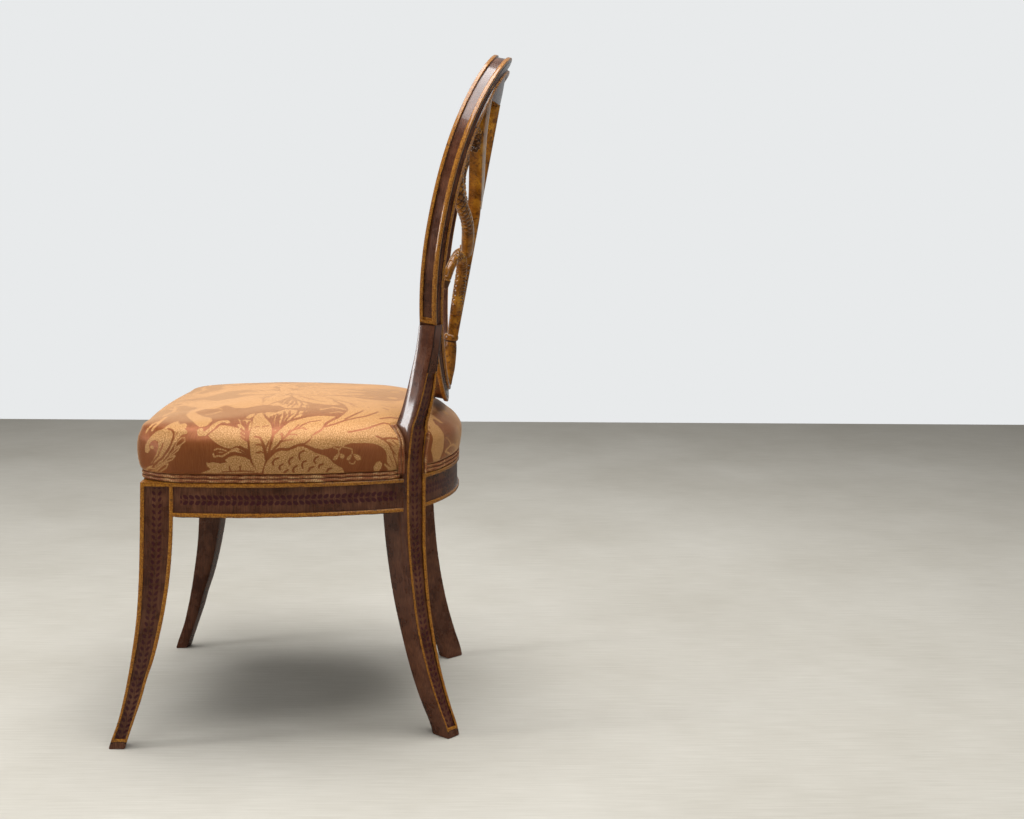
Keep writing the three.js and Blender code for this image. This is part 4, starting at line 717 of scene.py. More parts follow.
def rail_grid(face, low, high):
    """Carries the rail's section along its arc, from one share to another; the garland mirrors at the
    middle."""
    share = np.linspace(low, high, RAIL_ROWS)[:, None]
    out, level, gilt = RAIL_SECTION.T
    place = face(share * np.ones_like(out), out * np.ones_like(share))
    grid = np.concatenate([place, np.broadcast_to(level, place.shape[:2])[..., None]], -1)
    along = run_length(face(share[:, 0], np.zeros(len(share)))).reshape(-1, 1) * np.ones_like(out)
    run = np.abs(along - along[-1, 0] / 2)
    middle = (level - (RAIL_TOP + RAIL_BOTTOM) / 2) * np.ones_like(along)
    leaf = laurel(middle, run, *RAIL_LAUREL)
    end = along[-1, 0] / 2 - run
    inside = (np.abs(middle) < 12) & (out < -PANEL_DEPTH + 0.01) & (out > -RAIL_THICKNESS + 1)
    leaf = np.where(inside, np.minimum(leaf, end - GARLAND_END), NO_FIGURE)
    return grid, {"gilt": gilt * np.ones_like(along), "figure": leaf}, seam_uv(middle, along)


def share_at(face, axis, value):
    """Share of the arc at which one of its coordinates has a value, read off a fine table."""
    shares = np.linspace(0, 1, 2001)
    line = face(shares, np.zeros_like(shares))[:, axis]
    order = np.argsort(line)
    return float(np.interp(value, line[order], shares[order]))


side_start = share_at(side_face, 1, -FRONT_FACE + FRONT_LEG_DEPTH - SHOULDER)
grid, values, uv = rail_grid(side_face, side_start, 1.006)
both_sides("side_rail", grid, "dark_wood", lacquer, values=values, uv=uv)
front_start = share_at(front_face, 0, -FRONT_HALF_WIDTH + FRONT_LEG_WIDTH - SHOULDER)
for name, face, start in (("front_rail", front_face, front_start), ("back_rail", back_face, -0.006)):
    grid, values, uv = rail_grid(face, start, 1 - start)
    make_piece(name, grid, "dark_wood", lacquer, values=values, uv=uv)

# %% [markdown]
# ## The oval ring
# The ring is four sawn segments, doweled end to end and moulded once it is glued up, so its lacquer
# hides the joints. Its outer edge has a dark channel between two ochre lips. Its rear face has a
# bead, a deep hollow and an inner lip. The profile is carried round a superellipse, an oval with
# slightly squared shoulders.

# %% Ring profile
CHANNEL_DEPTH = 3.0
STILE_ANGLE = -math.asin(STILE_JOINT_DROP / RING_LOWER)
STILE_REACH = math.radians(9)        # half of the arc that the stile is glued to
# columns: inward from the outer edge, behind the rear face, depth of the channel, gilt
RING_PROFILE = np.array([
    (0, -RING_DEPTH + 1.2, 0, 1), (0, -RING_DEPTH + 3.5, 0, 1), (0, -RING_DEPTH + LIP - 0.8, 0, 1),
    (0, -RING_DEPTH + LIP - 0.1, 0.15, 1), (0, -RING_DEPTH + LIP + 0.2, 1, 0),
    (0, -RING_DEPTH / 2 - 3.5, 1, 0), (0, -RING_DEPTH / 2, 1, 0), (0, -RING_DEPTH / 2 + 3.5, 1, 0),
    (0, -LIP - 0.2, 1, 0), (0, -LIP + 0.1, 0.15, 1), (0, -LIP + 0.8, 0, 1), (0, -3, 0, 1), (0, -1.4, 0, 1),
    (0.4, -0.4, 0, 1), (1.5, 0, 0, 1), (4.2, -0.1, 0, 1), (5.4, -0.9, 0, 0.9), (5.8, -2.2, 0, 0.1),
    (6.3, -2.6, 0, 0), (7.0, -1.5, 0, 0.2), (8.4, -1.0, 0, 0.35), (9.8, -1.5, 0, 0.2), (10.6, -2.6, 0, 0),
    (11.6, -3.6, 0, 0), (14, -4.2, 0, 0), (17, -4.0, 0, 0), (18.6, -3.2, 0, 0), (19.1, -1.2, 0, 0.9),
    (19.9, -0.1, 0, 1), (22, 0, 0, 1), (24, -0.2, 0, 1), (RING_WIDTH - 0.3, -1.2, 0, 0.9),
    (RING_WIDTH, -3, 0, 0.2), (RING_WIDTH, -RING_DEPTH / 2, 0, 0), (RING_WIDTH, -RING_DEPTH + 3, 0, 0.2),
    (RING_WIDTH - 0.3, -RING_DEPTH + 1.2, 0, 0.9), (24, -RING_DEPTH + 0.2, 0, 1), (20.4, -RING_DEPTH, 0, 1),
    (19.6, -RING_DEPTH + 0.7, 0, 0.4), (19.2, -RING_DEPTH + 1.6, 0, 0), (16, -RING_DEPTH + 2, 0, 0),
    (12.6, -RING_DEPTH + 2.1, 0, 0), (9, -RING_DEPTH + 2, 0, 0), (6, -RING_DEPTH + 1.6, 0, 0),
    (5.6, -RING_DEPTH + 0.7, 0, 0.4), (4.8, -RING_DEPTH, 0, 1), (1.4, -RING_DEPTH + 0.2, 0, 1),
])


def ring_grid(angles):
    """Carries the profile round the oval; the channel closes where the stile is glued on."""
    inward, behind, sunk, gilt = RING_PROFILE.T
    from_stile = np.abs(np.arcsin(np.sin(angles)) - (STILE_ANGLE - STILE_REACH))
    closed = np.clip((STILE_REACH - from_stile) / math.radians(0.16), 0, 1)
    depth = sunk * CHANNEL_DEPTH * (1 - closed[:, None])
    across, rise = oval_at(angles[:, None], inward + depth)
    grid = back_point(across, rise, behind)
    rim = (behind < -1) & (inward < 0.2)
    near = np.clip(1 - np.abs(from_stile - STILE_REACH) / math.radians(0.9), 0, 1)[:, None]
    gilt = np.where(rim & (closed[:, None] > 0.5), gilt * 0.2, gilt * np.ones_like(across))
    gilt = np.where(rim & (near > 0.1), 1.0, gilt)
    along = run_length(grid[:, 0])[:, None] * np.ones_like(gilt)
    return grid, {"gilt": gilt, "figure": NO_FIGURE}, seam_uv(behind * np.ones_like(gilt), along)


def ring_angles(low, high, count):
    """Angles of a segment's rows; close ones stand where the channel ends at the stile."""
    close = STILE_ANGLE + np.radians([-18.4, -18.2, -18, -17.8, -17.2, -0.8, -0.2, 0, 0.2, 0.6])
    inside = close[(close > low) & (close < high)]
    return np.unique(np.concatenate([np.linspace(low, high, count), inside]))


# %% [markdown]
# The two sides, the crest and the lower piece are cut from that one moulding at the glued joints.

# %% Ring segments
grid, values, uv = ring_grid(ring_angles(FOOT_ANGLE, CREST_ANGLE, 240))
both_sides("ring_side", grid, "dark_wood", lacquer, values=values, uv=uv)
for name, low, high in (("ring_crest", CREST_ANGLE, math.pi - CREST_ANGLE),
                        ("ring_foot", -math.pi - FOOT_ANGLE, FOOT_ANGLE)):
    grid, values, uv = ring_grid(ring_angles(low, high, 150))
    make_piece(name, grid, "dark_wood", lacquer, values=values, uv=uv)

# %% [markdown]
# ## Amber lacquer on carving
# The splat is carved wood under an amber lacquer that was flyspecked. It is deep brown in cloudy
# spots and painted darker in the cuts, as shade and pooled glaze, so it reads brighter where the carving
# stands proud. Where it is seen edge on it is painted paler, as a reflection of the pale wall. The
# carving's depth is a value on the points, so the painted shade follows the cuts wherever the carver went.

# %% Amber material
def amber_material():
    """Amber between two browns by broad noise, brown specks above a noise threshold, painted shade in the
    cuts, and a pale painted reflection that grows with the turn away from the eye."""
    material, tree = new_material("amber lacquer on carved wood")
    place = object_place(tree)
    cloud = noise(tree, place, 42.0, 4.0, 0.6)
    blotch = noise(tree, place, 95.0, 5.0, 0.7)
    ground = ramp(tree, cloud, (0.32, "#5f390a"), (0.5, "#995f10"), (0.68, "#c68a26"))
    spots = calculate(tree, "ADD", noise(tree, place, 260.0, 3.0, 0.6), blotch)
    spotted = painted(tree, span(tree, spots, 1.04, 1.18, 0.0, 0.75), ground, "#4a2812")
    # painted shade and pooled glaze: darker where the carving cuts in, by the hollow value
    cuts = span(tree, point_value(tree, "hollow"), 0.35, 0.85, 0.0, 0.92)
    carved = painted(tree, cuts, spotted, "#3a1e0c")
    # painted reflection: a pale tone where the lacquer is seen edge on, standing for the pale wall mirrored
    # in it
    rim = ramp(tree, turned_away(tree), (0.55, 0.0), (0.78, 0.25), (0.93, 0.7))
    colour = painted(tree, rim, carved, "#ecd3b4")
    rough = span(tree, cloud, 0.3, 0.7, 0.24, 0.42)
    skin(tree, {"Base Color": colour, "Roughness": rough, "Normal": relief(tree, blotch, 0.25, 0.0008),
                "Specular IOR Level": 0.3, "Coat Weight": 0.6, "Coat Roughness": 0.12})
    return material


amber = amber_material()
print("material:", amber.name)

# %% [markdown]
# ## Flat-sawn strips of the lyre
# Stem, arms, bar and yoke are sawn from a curved board and rounded at their edges. Their grid is a
# row of four-sided sections up the back's plane. Small cuts are carved by moving points towards the
# middle of their row.

# %% Stem and arms
SPLAT_INSET = 4.0        # the splat stands this far before the ring's rear face
SPLAT_DEPTH = 20.0
SPLAT_MIDDLE = -SPLAT_INSET - SPLAT_DEPTH / 2
INNER_HALF_WIDTH = RING_HALF_WIDTH - RING_WIDTH
INNER_HALF_HEIGHT = RING_UPPER - RING_WIDTH
COLLAR_DROP = 164.0      # the turned collar is this far under the oval's centre
COLLAR_HEIGHT = 9.0
STEM_HALF_WIDTH = 11.0
STEM_RISE = 34.0
STEM_THINNING = 4.0
ARM_WIDTH = 23.0
ARM_TOP_SHARE = 0.82     # the arm ends inside the ring
NUDGE = 1 / 14           # share over which an arm's slope is read
SPLAT_EASE = 2.4
NOTCH_PITCH = 8.2        # notches along the stem's edges, below the serpents
NOTCH_DEPTH = 1.5
NOTCH_MIDDLE = -86       # rise of that stretch's middle
NOTCH_RUN = 38           # and its half length
STEM_SHARES = [
    [0, 0.82, 1], [0.25, 0.95, 0.25], [0.4, 1, 0], [0.55, 1.08, 0], [0.75, 1.12, 0], [0.85, 1.35, 0],
    [0.93, 2.05, 0], [1, 3.5, 0],
]
ARM_SHARES = [
    [0, 0.215], [0.07, 0.3], [0.15, 0.4], [0.23, 0.49], [0.32, 0.57], [0.42, 0.635], [0.52, 0.68],
    [0.63, 0.705], [0.75, 0.715], [0.87, 0.71], [1, 0.7],
]
# a carved face swells half a millimetre, and a quarter circle of SPLAT_EASE rounds its edge
CARVED_FACE = [
    (0, 0, SPLAT_EASE, 0, 0, 0),
    *[(share, 0, 0, -0.5 * math.sin(math.pi * share), 0, 0) for share in np.linspace(0.2, 0.8, 5)],
    *[(1, 0, -back * SPLAT_EASE, down * SPLAT_EASE, 0, 0)
      for back, down in ((1, 0), (0.62, 0.08), (0.29, 0.29), (0.08, 0.62))],
]


def strip_grid(rise, low, high, front, back):
    """Four-sided sections up the back's plane, from low to high across and from front to back."""
    corners = np.stack([back_point(low, rise, front), back_point(high, rise, front),
                        back_point(high, rise, back), back_point(low, rise, back)], 1)
    return four_sided(corners, LEAN_AXIS, np.zeros(len(rise)), [CARVED_FACE] * 4, np.zeros(len(rise)))[0]


def carve(grid, amount):
    """Moves each point towards the middle of its row by so many millimetres."""
    inward = grid.mean(1, keepdims=True) - grid
    inward /= np.maximum(np.linalg.norm(inward, axis=2, keepdims=True), 1e-6)
    return grid + inward * amount[..., None]


share = np.linspace(0, 1, 300)
rise = mix(-COLLAR_DROP, STEM_RISE, share)
half = STEM_HALF_WIDTH * smooth_table(STEM_SHARES, 1)(share)
front = SPLAT_MIDDLE - SPLAT_DEPTH / 2 + STEM_THINNING * smooth_table(STEM_SHARES, 2)(share)
grid = strip_grid(rise, -half, half, front, np.full_like(front, SPLAT_MIDDLE + SPLAT_DEPTH / 2))
column = np.arange(grid.shape[1]) % len(CARVED_FACE)
edge = np.where(column >= len(CARVED_FACE) - 4, 1.0, np.where((column < 2) | (column > 4), 0.7, 0.0))
tooth = np.clip(1 - np.abs(((rise / NOTCH_PITCH) % 1) - 0.5) / 0.17, 0, 1) * (
    np.abs(rise - NOTCH_MIDDLE) < NOTCH_RUN)
cuts = tooth[:, None] * edge[None, :]
make_piece("lyre_stem", carve(grid, cuts * NOTCH_DEPTH), "amber_wood", amber, values={"hollow": cuts})

arm_outer = smooth_table(ARM_SHARES, 1)
share = np.linspace(0, ARM_TOP_SHARE, 200)
arm_low, arm_high = STEM_RISE, RING_UPPER - RING_WIDTH / 2
before, after = np.clip(share - NUDGE, 0, 1), np.clip(share + NUDGE, 0, 1)
slope = (arm_outer(after) - arm_outer(before)) * INNER_HALF_WIDTH
run = (after - before) * (arm_high - arm_low)
edge_line = arm_outer(share) * INNER_HALF_WIDTH
width = ARM_WIDTH * np.hypot(slope, run) / run
rise = mix(arm_low, arm_high, share)
flat = np.ones_like(rise)
front, back = SPLAT_MIDDLE - SPLAT_DEPTH / 2, SPLAT_MIDDLE + SPLAT_DEPTH / 2
grid = strip_grid(rise, edge_line - width, edge_line, flat * front, flat * back)
both_sides("lyre_arm", grid, "amber_wood", amber, values={"hollow": 0})

# %% [markdown]
# The centre bar stands a little behind the arms' faces, and the yoke is bent round the barrel under
# the crest. The yoke's ends and top run into the arms and the ring, as its tenons do.

# %% Bar and yoke
BAR_HALF_WIDTH = 8.0
YOKE_RISE = 191.0
YOKE_HALF_WIDTH = INNER_HALF_WIDTH * 5 / 8
YOKE_ROWS = 80
REVEAL = 1.2             # the bar and the yoke stand this far behind the arms' faces

front, back = front + REVEAL, back - REVEAL
rise = np.linspace(STEM_RISE - 3, YOKE_RISE + 2, 120)
flat = np.ones_like(rise)
grid = strip_grid(rise, -BAR_HALF_WIDTH * flat, BAR_HALF_WIDTH * flat, flat * front, flat * back)
make_piece("lyre_bar", grid, "amber_wood", amber, values={"hollow": 0})

across = np.linspace(-YOKE_HALF_WIDTH, YOKE_HALF_WIDTH, YOKE_ROWS)
hollowed = 1 - (np.abs(across) / INNER_HALF_WIDTH) ** UPPER_SQUARENESS
inner_rise = INNER_HALF_HEIGHT * hollowed ** (1 / UPPER_SQUARENESS)
top = np.minimum(inner_rise + 5, INNER_HALF_HEIGHT + 2)
corners = np.stack([back_point(across, YOKE_RISE, front), back_point(across, YOKE_RISE, back),
                    back_point(across, top, back), back_point(across, top, front)], 1)
travel = np.gradient(corners.mean(1), axis=0)
plain = np.zeros(YOKE_ROWS)
grid, _, _ = four_sided(corners, travel, plain, [CARVED_FACE] * 4, plain)
make_piece("lyre_yoke", grid, "dark_wood", lacquer, values={"gilt": 0, "figure": NO_FIGURE})

# %% [markdown]
# ## Lyre foot
# The lyre stands on a turned foot: a collar, square to the leaning stem, and a fluted, pointed drop
# that hangs plumb to the ring. Both are turnings, so rings of points are stacked down one bent axis.

# %% Lyre foot
COLLAR_RADIUS = 11.5
COLLAR_ROWS = 24
DROP_RADIUS = 10.0
DROP_ROWS = 70
FLUTES = 12
FLUTE_DEPTH = 0.035      # share of the radius
FLUTE_START = 30         # row
DROP_TIP_RADIUS = 1.8
DROP_SHARES = [[0, 0.9], [0.16, 0.95], [0.4, 0.86], [0.66, 0.66], [0.86, 0.36],
               [1, DROP_TIP_RADIUS / DROP_RADIUS]]
ROUND = full_turn(40)

top = back_point(0, -COLLAR_DROP, SPLAT_MIDDLE)
floor_height = back_point(0, -RING_LOWER + RING_WIDTH, SPLAT_MIDDLE)[2]
drop_length = top[2] - COLLAR_HEIGHT / 2 - floor_height + 2
down = np.linspace(0, COLLAR_HEIGHT, COLLAR_ROWS)
belly = np.sin(math.pi * down / COLLAR_HEIGHT)
collar_radius = mix(DROP_RADIUS - 0.6, COLLAR_RADIUS, np.sqrt(np.clip(belly, 0, 1)))
collar_axis = top - LEAN_AXIS * down[:, None]
drop_share = np.linspace(0.02, 1, DROP_ROWS)
drop_radius = DROP_RADIUS * smooth_table(DROP_SHARES, 1)(drop_share)
drop_axis = collar_axis[-1] - np.array([0, 0, 1]) * (drop_share[:, None] * (drop_length - COLLAR_HEIGHT / 2))
axis_line = np.concatenate([collar_axis, drop_axis])
radius = np.concatenate([collar_radius, drop_radius])[:, None, None]
tilt = BACK_LEAN * np.concatenate([np.ones(COLLAR_ROWS), np.clip(1 - drop_share / 0.1, 0, 1)])[:, None]
ring_y = np.stack([0 * tilt, np.cos(tilt), -np.sin(tilt)], -1)
fluted = (np.arange(COLLAR_ROWS + DROP_ROWS) > FLUTE_START)[:, None, None]
flutes = 1 - FLUTE_DEPTH * np.cos(FLUTES * ROUND)[:, None] * fluted
circle = np.cos(ROUND)[:, None] * np.array([1, 0, 0]) + np.sin(ROUND)[:, None] * ring_y
grid = axis_line[:, None] + radius * flutes * circle
hollow = np.zeros(grid.shape[:2])
hollow[COLLAR_ROWS - 1:COLLAR_ROWS + 2] = 0.9
make_piece("lyre_foot", grid, "amber_wood", amber, values={"hollow": hollow})

# %% [markdown]
# ## Serpents and swan necks
# Two serpents rise from the stem, cross to the ring and curl over; two swan necks arch out of the
# stem's foot. Each is a round limb along a curve drawn in the back's plane. The scales are lozenges
# between two sets of slanting grooves, and a row of saw cuts crosses the edges of each limb.

# %% Limbs of the splat
NECK_RADIUS = 8.0
NECK_CUT = 1.6           # deepest cut of the carving
SERPENT_RADIUS = 9.5
SERPENT_CUT = 1.2
# across and rise (shares of the inner oval), half width, half depth, and place towards the sitter
NECK_SHARES = [
    [0.058, -0.56, 0.5, 0.8, 0], [0.076, -0.5, 0.8, 0.9, 0], [0.1, -0.42, 1, 0.9, 0.02],
    [0.135, -0.34, 1, 0.9, 0.05], [0.17, -0.26, 1, 0.85, 0.1], [0.235, -0.2, 0.95, 0.8, 0.15],
    [0.34, -0.17, 0.95, 0.75, 0.2], [0.46, -0.175, 0.95, 0.7, 0.22], [0.56, -0.205, 0.95, 0.65, 0.25],
    [0.63, -0.265, 1.1, 0.65, 0.28], [0.65, -0.325, 1.05, 0.6, 0.28], [0.64, -0.375, 0.3, 0.35, 0.28],
]
SERPENT_SHARES = [
    [0.055, -0.155, 0.9, 0.85, 0], [0.14, -0.118, 1, 0.9, 0], [0.222, -0.071, 1, 0.95, 0],
    [0.32, -0.012, 1, 0.95, 0], [0.47, 0.058, 1, 0.95, 0], [0.64, 0.118, 1, 0.95, 0],
    [0.768, 0.17, 0.97, 0.95, 0], [0.845, 0.225, 0.93, 0.95, 0], [0.9, 0.3, 0.9, 0.9, 0],
    [0.92, 0.385, 0.85, 0.9, 0], [0.915, 0.47, 0.78, 0.8, 0], [0.87, 0.555, 0.7, 0.75, 0],
    [0.795, 0.603, 0.66, 0.75, 0], [0.715, 0.605, 0.68, 0.8, 0], [0.66, 0.56, 0.72, 0.85, 0],
    [0.655, 0.505, 0.66, 0.8, 0], [0.69, 0.478, 0.35, 0.5, 0],
]
LIMB_COLUMNS = 36
LIMB_ROWS = 260


def limb(shares, radius):
    """A round limb: an ellipse, half width across the curve and half depth out of the plane, is carried
    along the spline; the ends close in a quarter circle. Gives the grid, run, angle and that closing."""
    table = np.array(shares)
    last = len(table) - 1
    place = np.linspace(0, last, LIMB_ROWS)
    line = spline(table[:, :2] * [INNER_HALF_WIDTH, INNER_HALF_HEIGHT], place)
    along = unit(np.gradient(line, axis=0))
    sizes = np.stack([np.interp(place, np.arange(last + 1), table[:, k]) for k in (2, 3, 4)])
    run = run_length(line)
    ends = np.minimum(run, run[-1] - run) / (radius * 0.45)
    dome = np.sqrt(np.clip(1 - (1 - np.clip(ends, 0.02, 1)) ** 2, 0, 1))
    wide = (radius * sizes[0] * dome)[:, None]
    deep = (SPLAT_DEPTH / 2 * np.minimum(sizes[1], 1) * dome)[:, None]
    angle = full_turn(LIMB_COLUMNS)
    side, out = np.cos(angle), np.sin(angle)
    grid = back_point(line[:, :1] + along[:, 1:] * wide * side, line[:, 1:] - along[:, :1] * wide * side,
                      SPLAT_MIDDLE - SPLAT_DEPTH * sizes[2][:, None] + deep * out)
    return grid, run[:, None] * np.ones_like(angle), angle * np.ones((LIMB_ROWS, 1)), dome[:, None]


def scales(run, angle, pitch, count):
    """Depth of the cuts between lozenge scales, 0 on a scale and 1 in a cut: two waves slant round the
    limb both ways, and the nearer one's distance to its crest is turned into a narrow groove."""
    turn = angle / (2 * math.pi) * count
    first = np.abs(((run / pitch + turn) % 1) - 0.5) * 2
    second = np.abs(((run / pitch - turn) % 1) - 0.5) * 2
    return np.clip((np.maximum(first, second) - 0.64) / 0.22, 0, 1)


def notches(run, angle, edge, pitch, reach=0.9):
    """Depth of saw cuts across an edge: narrow valleys every pitch, faded out away from one angle."""
    near = np.clip(1 - np.abs((angle - edge + math.pi) % (2 * math.pi) - math.pi) / reach, 0, 1)
    return np.clip(1.8 - np.abs(((run / pitch) % 1) - 0.5) * 6.4, 0, 1) * np.sqrt(near)


# %% [markdown]
# A serpent's first 60 mm are smooth, where it grows out of the stem; its head, inside the curl, is painted
# dark as shade.

# %% Serpents
SMOOTH_START = 60        # millimetres from the stem
HEAD_LENGTH = 34

grid, run, angle, dome = limb(SERPENT_SHARES, SERPENT_RADIUS)
body = np.clip((run - SMOOTH_START) / 25, 0, 1)
cuts = np.maximum.reduce([scales(run, angle, 12.0, 4) * body, notches(run, angle, math.pi, 6.5) * body,
                          notches(run, angle, math.pi / 2, 6.0, 0.6) * body]) * dome
# painted shade: the head inside the curl is darkened through the hollow value
curl_shade = np.clip((run - (run[-1, 0] - HEAD_LENGTH)) / 4, 0, 1) * 0.62
both_sides("serpent", carve(grid, cuts * SERPENT_CUT), "amber_wood", amber,
           values={"hollow": np.maximum(cuts, curl_shade)})

# %% [markdown]
# A swan's neck has saw cuts on its edges and scales from its crown on. A cut rings the neck behind the
# head, another starts the beak, and the beak is painted dark.

# %% Swan necks
SCALES_END = 46          # millimetres before the beak's tip, as the two below
COLLAR_CUT = 40
BEAK_CUT = 15
CROWN_SHARE = 0.42       # of the neck's length

grid, run, angle, dome = limb(NECK_SHARES, NECK_RADIUS)
length = run[-1, 0]
body = np.clip((run - 12) / 10, 0, 1) * np.clip((length - SCALES_END - run) / 8, 0, 1)
collar_cut = np.clip(1 - np.abs(run - (length - COLLAR_CUT)) / 1.6, 0, 1)
beak_cut = np.clip(1 - np.abs(run - (length - BEAK_CUT)) / 1.2, 0, 1) * 0.8
beak_dark = np.clip((run - (length - BEAK_CUT + 1)) / 2, 0, 0.8)
crown = np.clip((run - CROWN_SHARE * length) / 30, 0, 1)
cuts = np.maximum.reduce([
    scales(run, angle, 8.0, 4) * 0.9 * body * crown, notches(run, angle, math.pi, 6.0) * body,
    notches(run, angle, math.pi / 2, 5.6, 1.35) * body, notches(run, angle, -math.pi / 2, 8.0, 1.2) * body,
    collar_cut * 0.7, beak_cut]) * dome
both_sides("swan_neck", carve(grid, cuts * NECK_CUT), "amber_wood", amber,
           values={"hollow": np.maximum(cuts, beak_dark)})

# %% [markdown]
# The carver left two small details on each swan: a ball for the eye and a curl on the crown of the
# neck. Both are surfaces of revolution, and both sit half sunk in the neck.

# %% Eyes and curls
EYE_RADIUS = 3.2
CURL_RADIUS = 3.0
CURL_WIRE = 1.1
EYE_PLACE = (0.645 * INNER_HALF_WIDTH + 6.5, -0.3 * INNER_HALF_HEIGHT)
CURL_PLACE = (0.44 * INNER_HALF_WIDTH, -0.17 * INNER_HALF_HEIGHT + 8.6)

polar = np.linspace(0.06, math.pi - 0.06, 14)[:, None]
eye_centre = back_point(*EYE_PLACE, SPLAT_MIDDLE - 0.26 * SPLAT_DEPTH)
ball = np.stack([np.sin(polar) * np.cos(ROUND[::2]), np.sin(polar) * np.sin(ROUND[::2]),
                 np.cos(polar) * np.ones(20)], -1) * EYE_RADIUS
curl_centre = back_point(*CURL_PLACE, SPLAT_MIDDLE - 0.21 * SPLAT_DEPTH)
big, small = full_turn(24)[:, None], ROUND[::4]
reach = CURL_RADIUS + CURL_WIRE * np.cos(small)
curl = np.stack([reach * np.cos(big), CURL_WIRE * np.sin(small) * np.ones_like(big),
                 reach * np.sin(big)], -1)
eye, closed_curl = eye_centre + ball, curl_centre + np.concatenate([curl, curl[:1]])
for side, sign in (("right", 1), ("left", -1)):
    for name, grid, caps in (("swan_eye", eye, True), ("swan_curl", closed_curl, False)):
        make_piece(f"{name}_{side}", grid * np.array([sign, 1, 1]), "amber_wood", amber, caps=caps,
                   values={"hollow": 0}, replaces=False)

# %% [markdown]
# ## Plan of the seat
# Cushion, welts and dust cover all follow one closed line in plan: the faces of the rails, rounded at
# the front corners. An upholsterer cuts them all from one paper pattern.

# %% Seat outline
OUTLINE_SHARES = ((front_face, [0.5, 0.66, 0.82, 0.94]), (side_face, [0.06, 0.2, 0.4, 0.6, 0.8, 0.96]),
                  (back_face, [0.08, 0.22, 0.36, 0.5]))
SEAT_MIDDLE = np.array([0, (BACK_FACE - FRONT_FACE) / 2])
outline_half = np.concatenate([
    face(np.array(shares), np.zeros(len(shares))) for face, shares in OUTLINE_SHARES])
outline_points = np.concatenate([outline_half, outline_half[-2:0:-1] * [-1, 1]])


def seat_outline(count):
    """The outline at evenly spaced places, with its outward direction at each."""
    place = np.linspace(0, len(outline_points), 6001)
    run = run_length(spline(outline_points, place, closed=True))
    even = np.interp(np.linspace(0, run[-1], count + 1)[:-1], run, place)
    line = spline(outline_points, even, closed=True)
    along = unit(np.roll(line, -1, 0) - np.roll(line, 1, 0))
    return line, np.stack([along[:, 1], -along[:, 0]], -1)


def push_out(a, b, anchor, low, high, far):
    """Points inside a box (low to high across, up to far in) move along their ray from an anchor outside
    the box to its sides: the ray's reach is the smaller of side / across and far / inward."""
    across, inward = a - anchor[0], b - anchor[1]
    side = np.where(across > 0, high, low) - anchor[0]
    reach = np.minimum(side / np.where(np.abs(across) < 1e-6, 1e-6, across),
                       (far - anchor[1]) / np.maximum(inward, 1e-6))
    reach = np.where((reach > 1) & (inward > 0.5), reach, 1)
    return anchor[0] + across * reach, anchor[1] + inward * reach


def side_sign(places):
    """-1 for x of the places on the left and 1 for all other numbers."""
    sign = np.ones_like(places)
    sign[..., 0] = np.where(places[..., 0] < 0, -1, 1)
    return sign


def off_rear_leg(place, height):
    """Distances in from the right rear leg's plain face and panelled face."""
    x, y, turn, _, _ = rear_leg_at(height)
    dx, dy = place[..., 0] - x, place[..., 1] - y
    return dy * np.sin(turn) - dx * np.cos(turn), -dx * np.sin(turn) - dy * np.cos(turn)


print("outline of", len(outline_points), "points")

# %% [markdown]
# ## Cushion
# The seat is stuffed tight over its deck: it swells a little past the rails, is drawn in above, and
# crowns to the middle. It is cut out round the stiles, and its edge there turns inward under a welt.
# The form comes from a table, carried round the outline. A cloth simulation would puff it up in the
# same way, but could not be held to the photograph's outline, so the soft unevenness is added as waves.

# %% Cushion form
CUSHION_CROWN = 486.0
CUSHION_SWELL = 6.0
CUSHION_EASE = 16.0
CORD = 5.7
WELT_BOTTOM = 388.6      # height of the lower cord's underside
WELT_TOP = WELT_BOTTOM + 2 * CORD
CUSHION_COLUMNS = 1120
# height (share from the welt to the crown), fixed offset, swell, ease at the back, drawn to the middle
CUSHION_SHARES = np.array([
    [-0.03, -6, 0, 0, 0], [0.0, -2.8, 0, 0, 0], [0.025, -0.6, 0.2, 0, 0], [0.055, 0, 0.36, 0, 0],
    [0.12, 0, 0.66, 0, 0], [0.29, 0, 1, 0, 0], [0.46, 0, 1, 0.1, 0], [0.58, 0, 0.6, 0.5, 0],
    [0.675, 0, 0.1, 0.9, 0.012], [0.745, 0, 0, 1, 0.04], [0.8, 0, 0, 1, 0.085], [0.855, 0, 0, 0.8, 0.16],
    [0.91, 0, 0, 0.3, 0.29], [0.955, 0, 0, 0, 0.48], [0.985, 0, 0, 0, 0.7], [0.997, 0, 0, 0, 0.88],
    [1.0, 0, 0, 0, 0.994],
])
# the cut-out at a stile: height (share), and how far along the plain face its edge stands
NOTCH_SHARES = [[-0.06, 0.11], [0.02, 0.11], [0.18, 0.14], [0.35, 0.215], [0.51, 0.35], [0.63, 0.645],
                [0.74, 1.03], [0.82, 1.2], [1, 1.2]]
NOTCH_REACH = 30.0       # the cushion's edge starts to turn in this far before the stile
NOTCH_EDGE = 8.6         # and meets the welt's outer cord here
NOTCH_WALL = 2.5         # the turn starts this far before the panelled face's plane
NOTCH_TUCK = 3.5         # the cloth's edge lies this far before the cord's middle
STILE_AIR = 0.6
WALL_RUN = 112.0         # rows stand 1.5 mm apart up to this run of the profile
FRONT_FULLNESS = 9.0     # the front shoulder is fuller than the sides
FRONT_DROP = 3.5         # and the top falls away a little earlier behind it

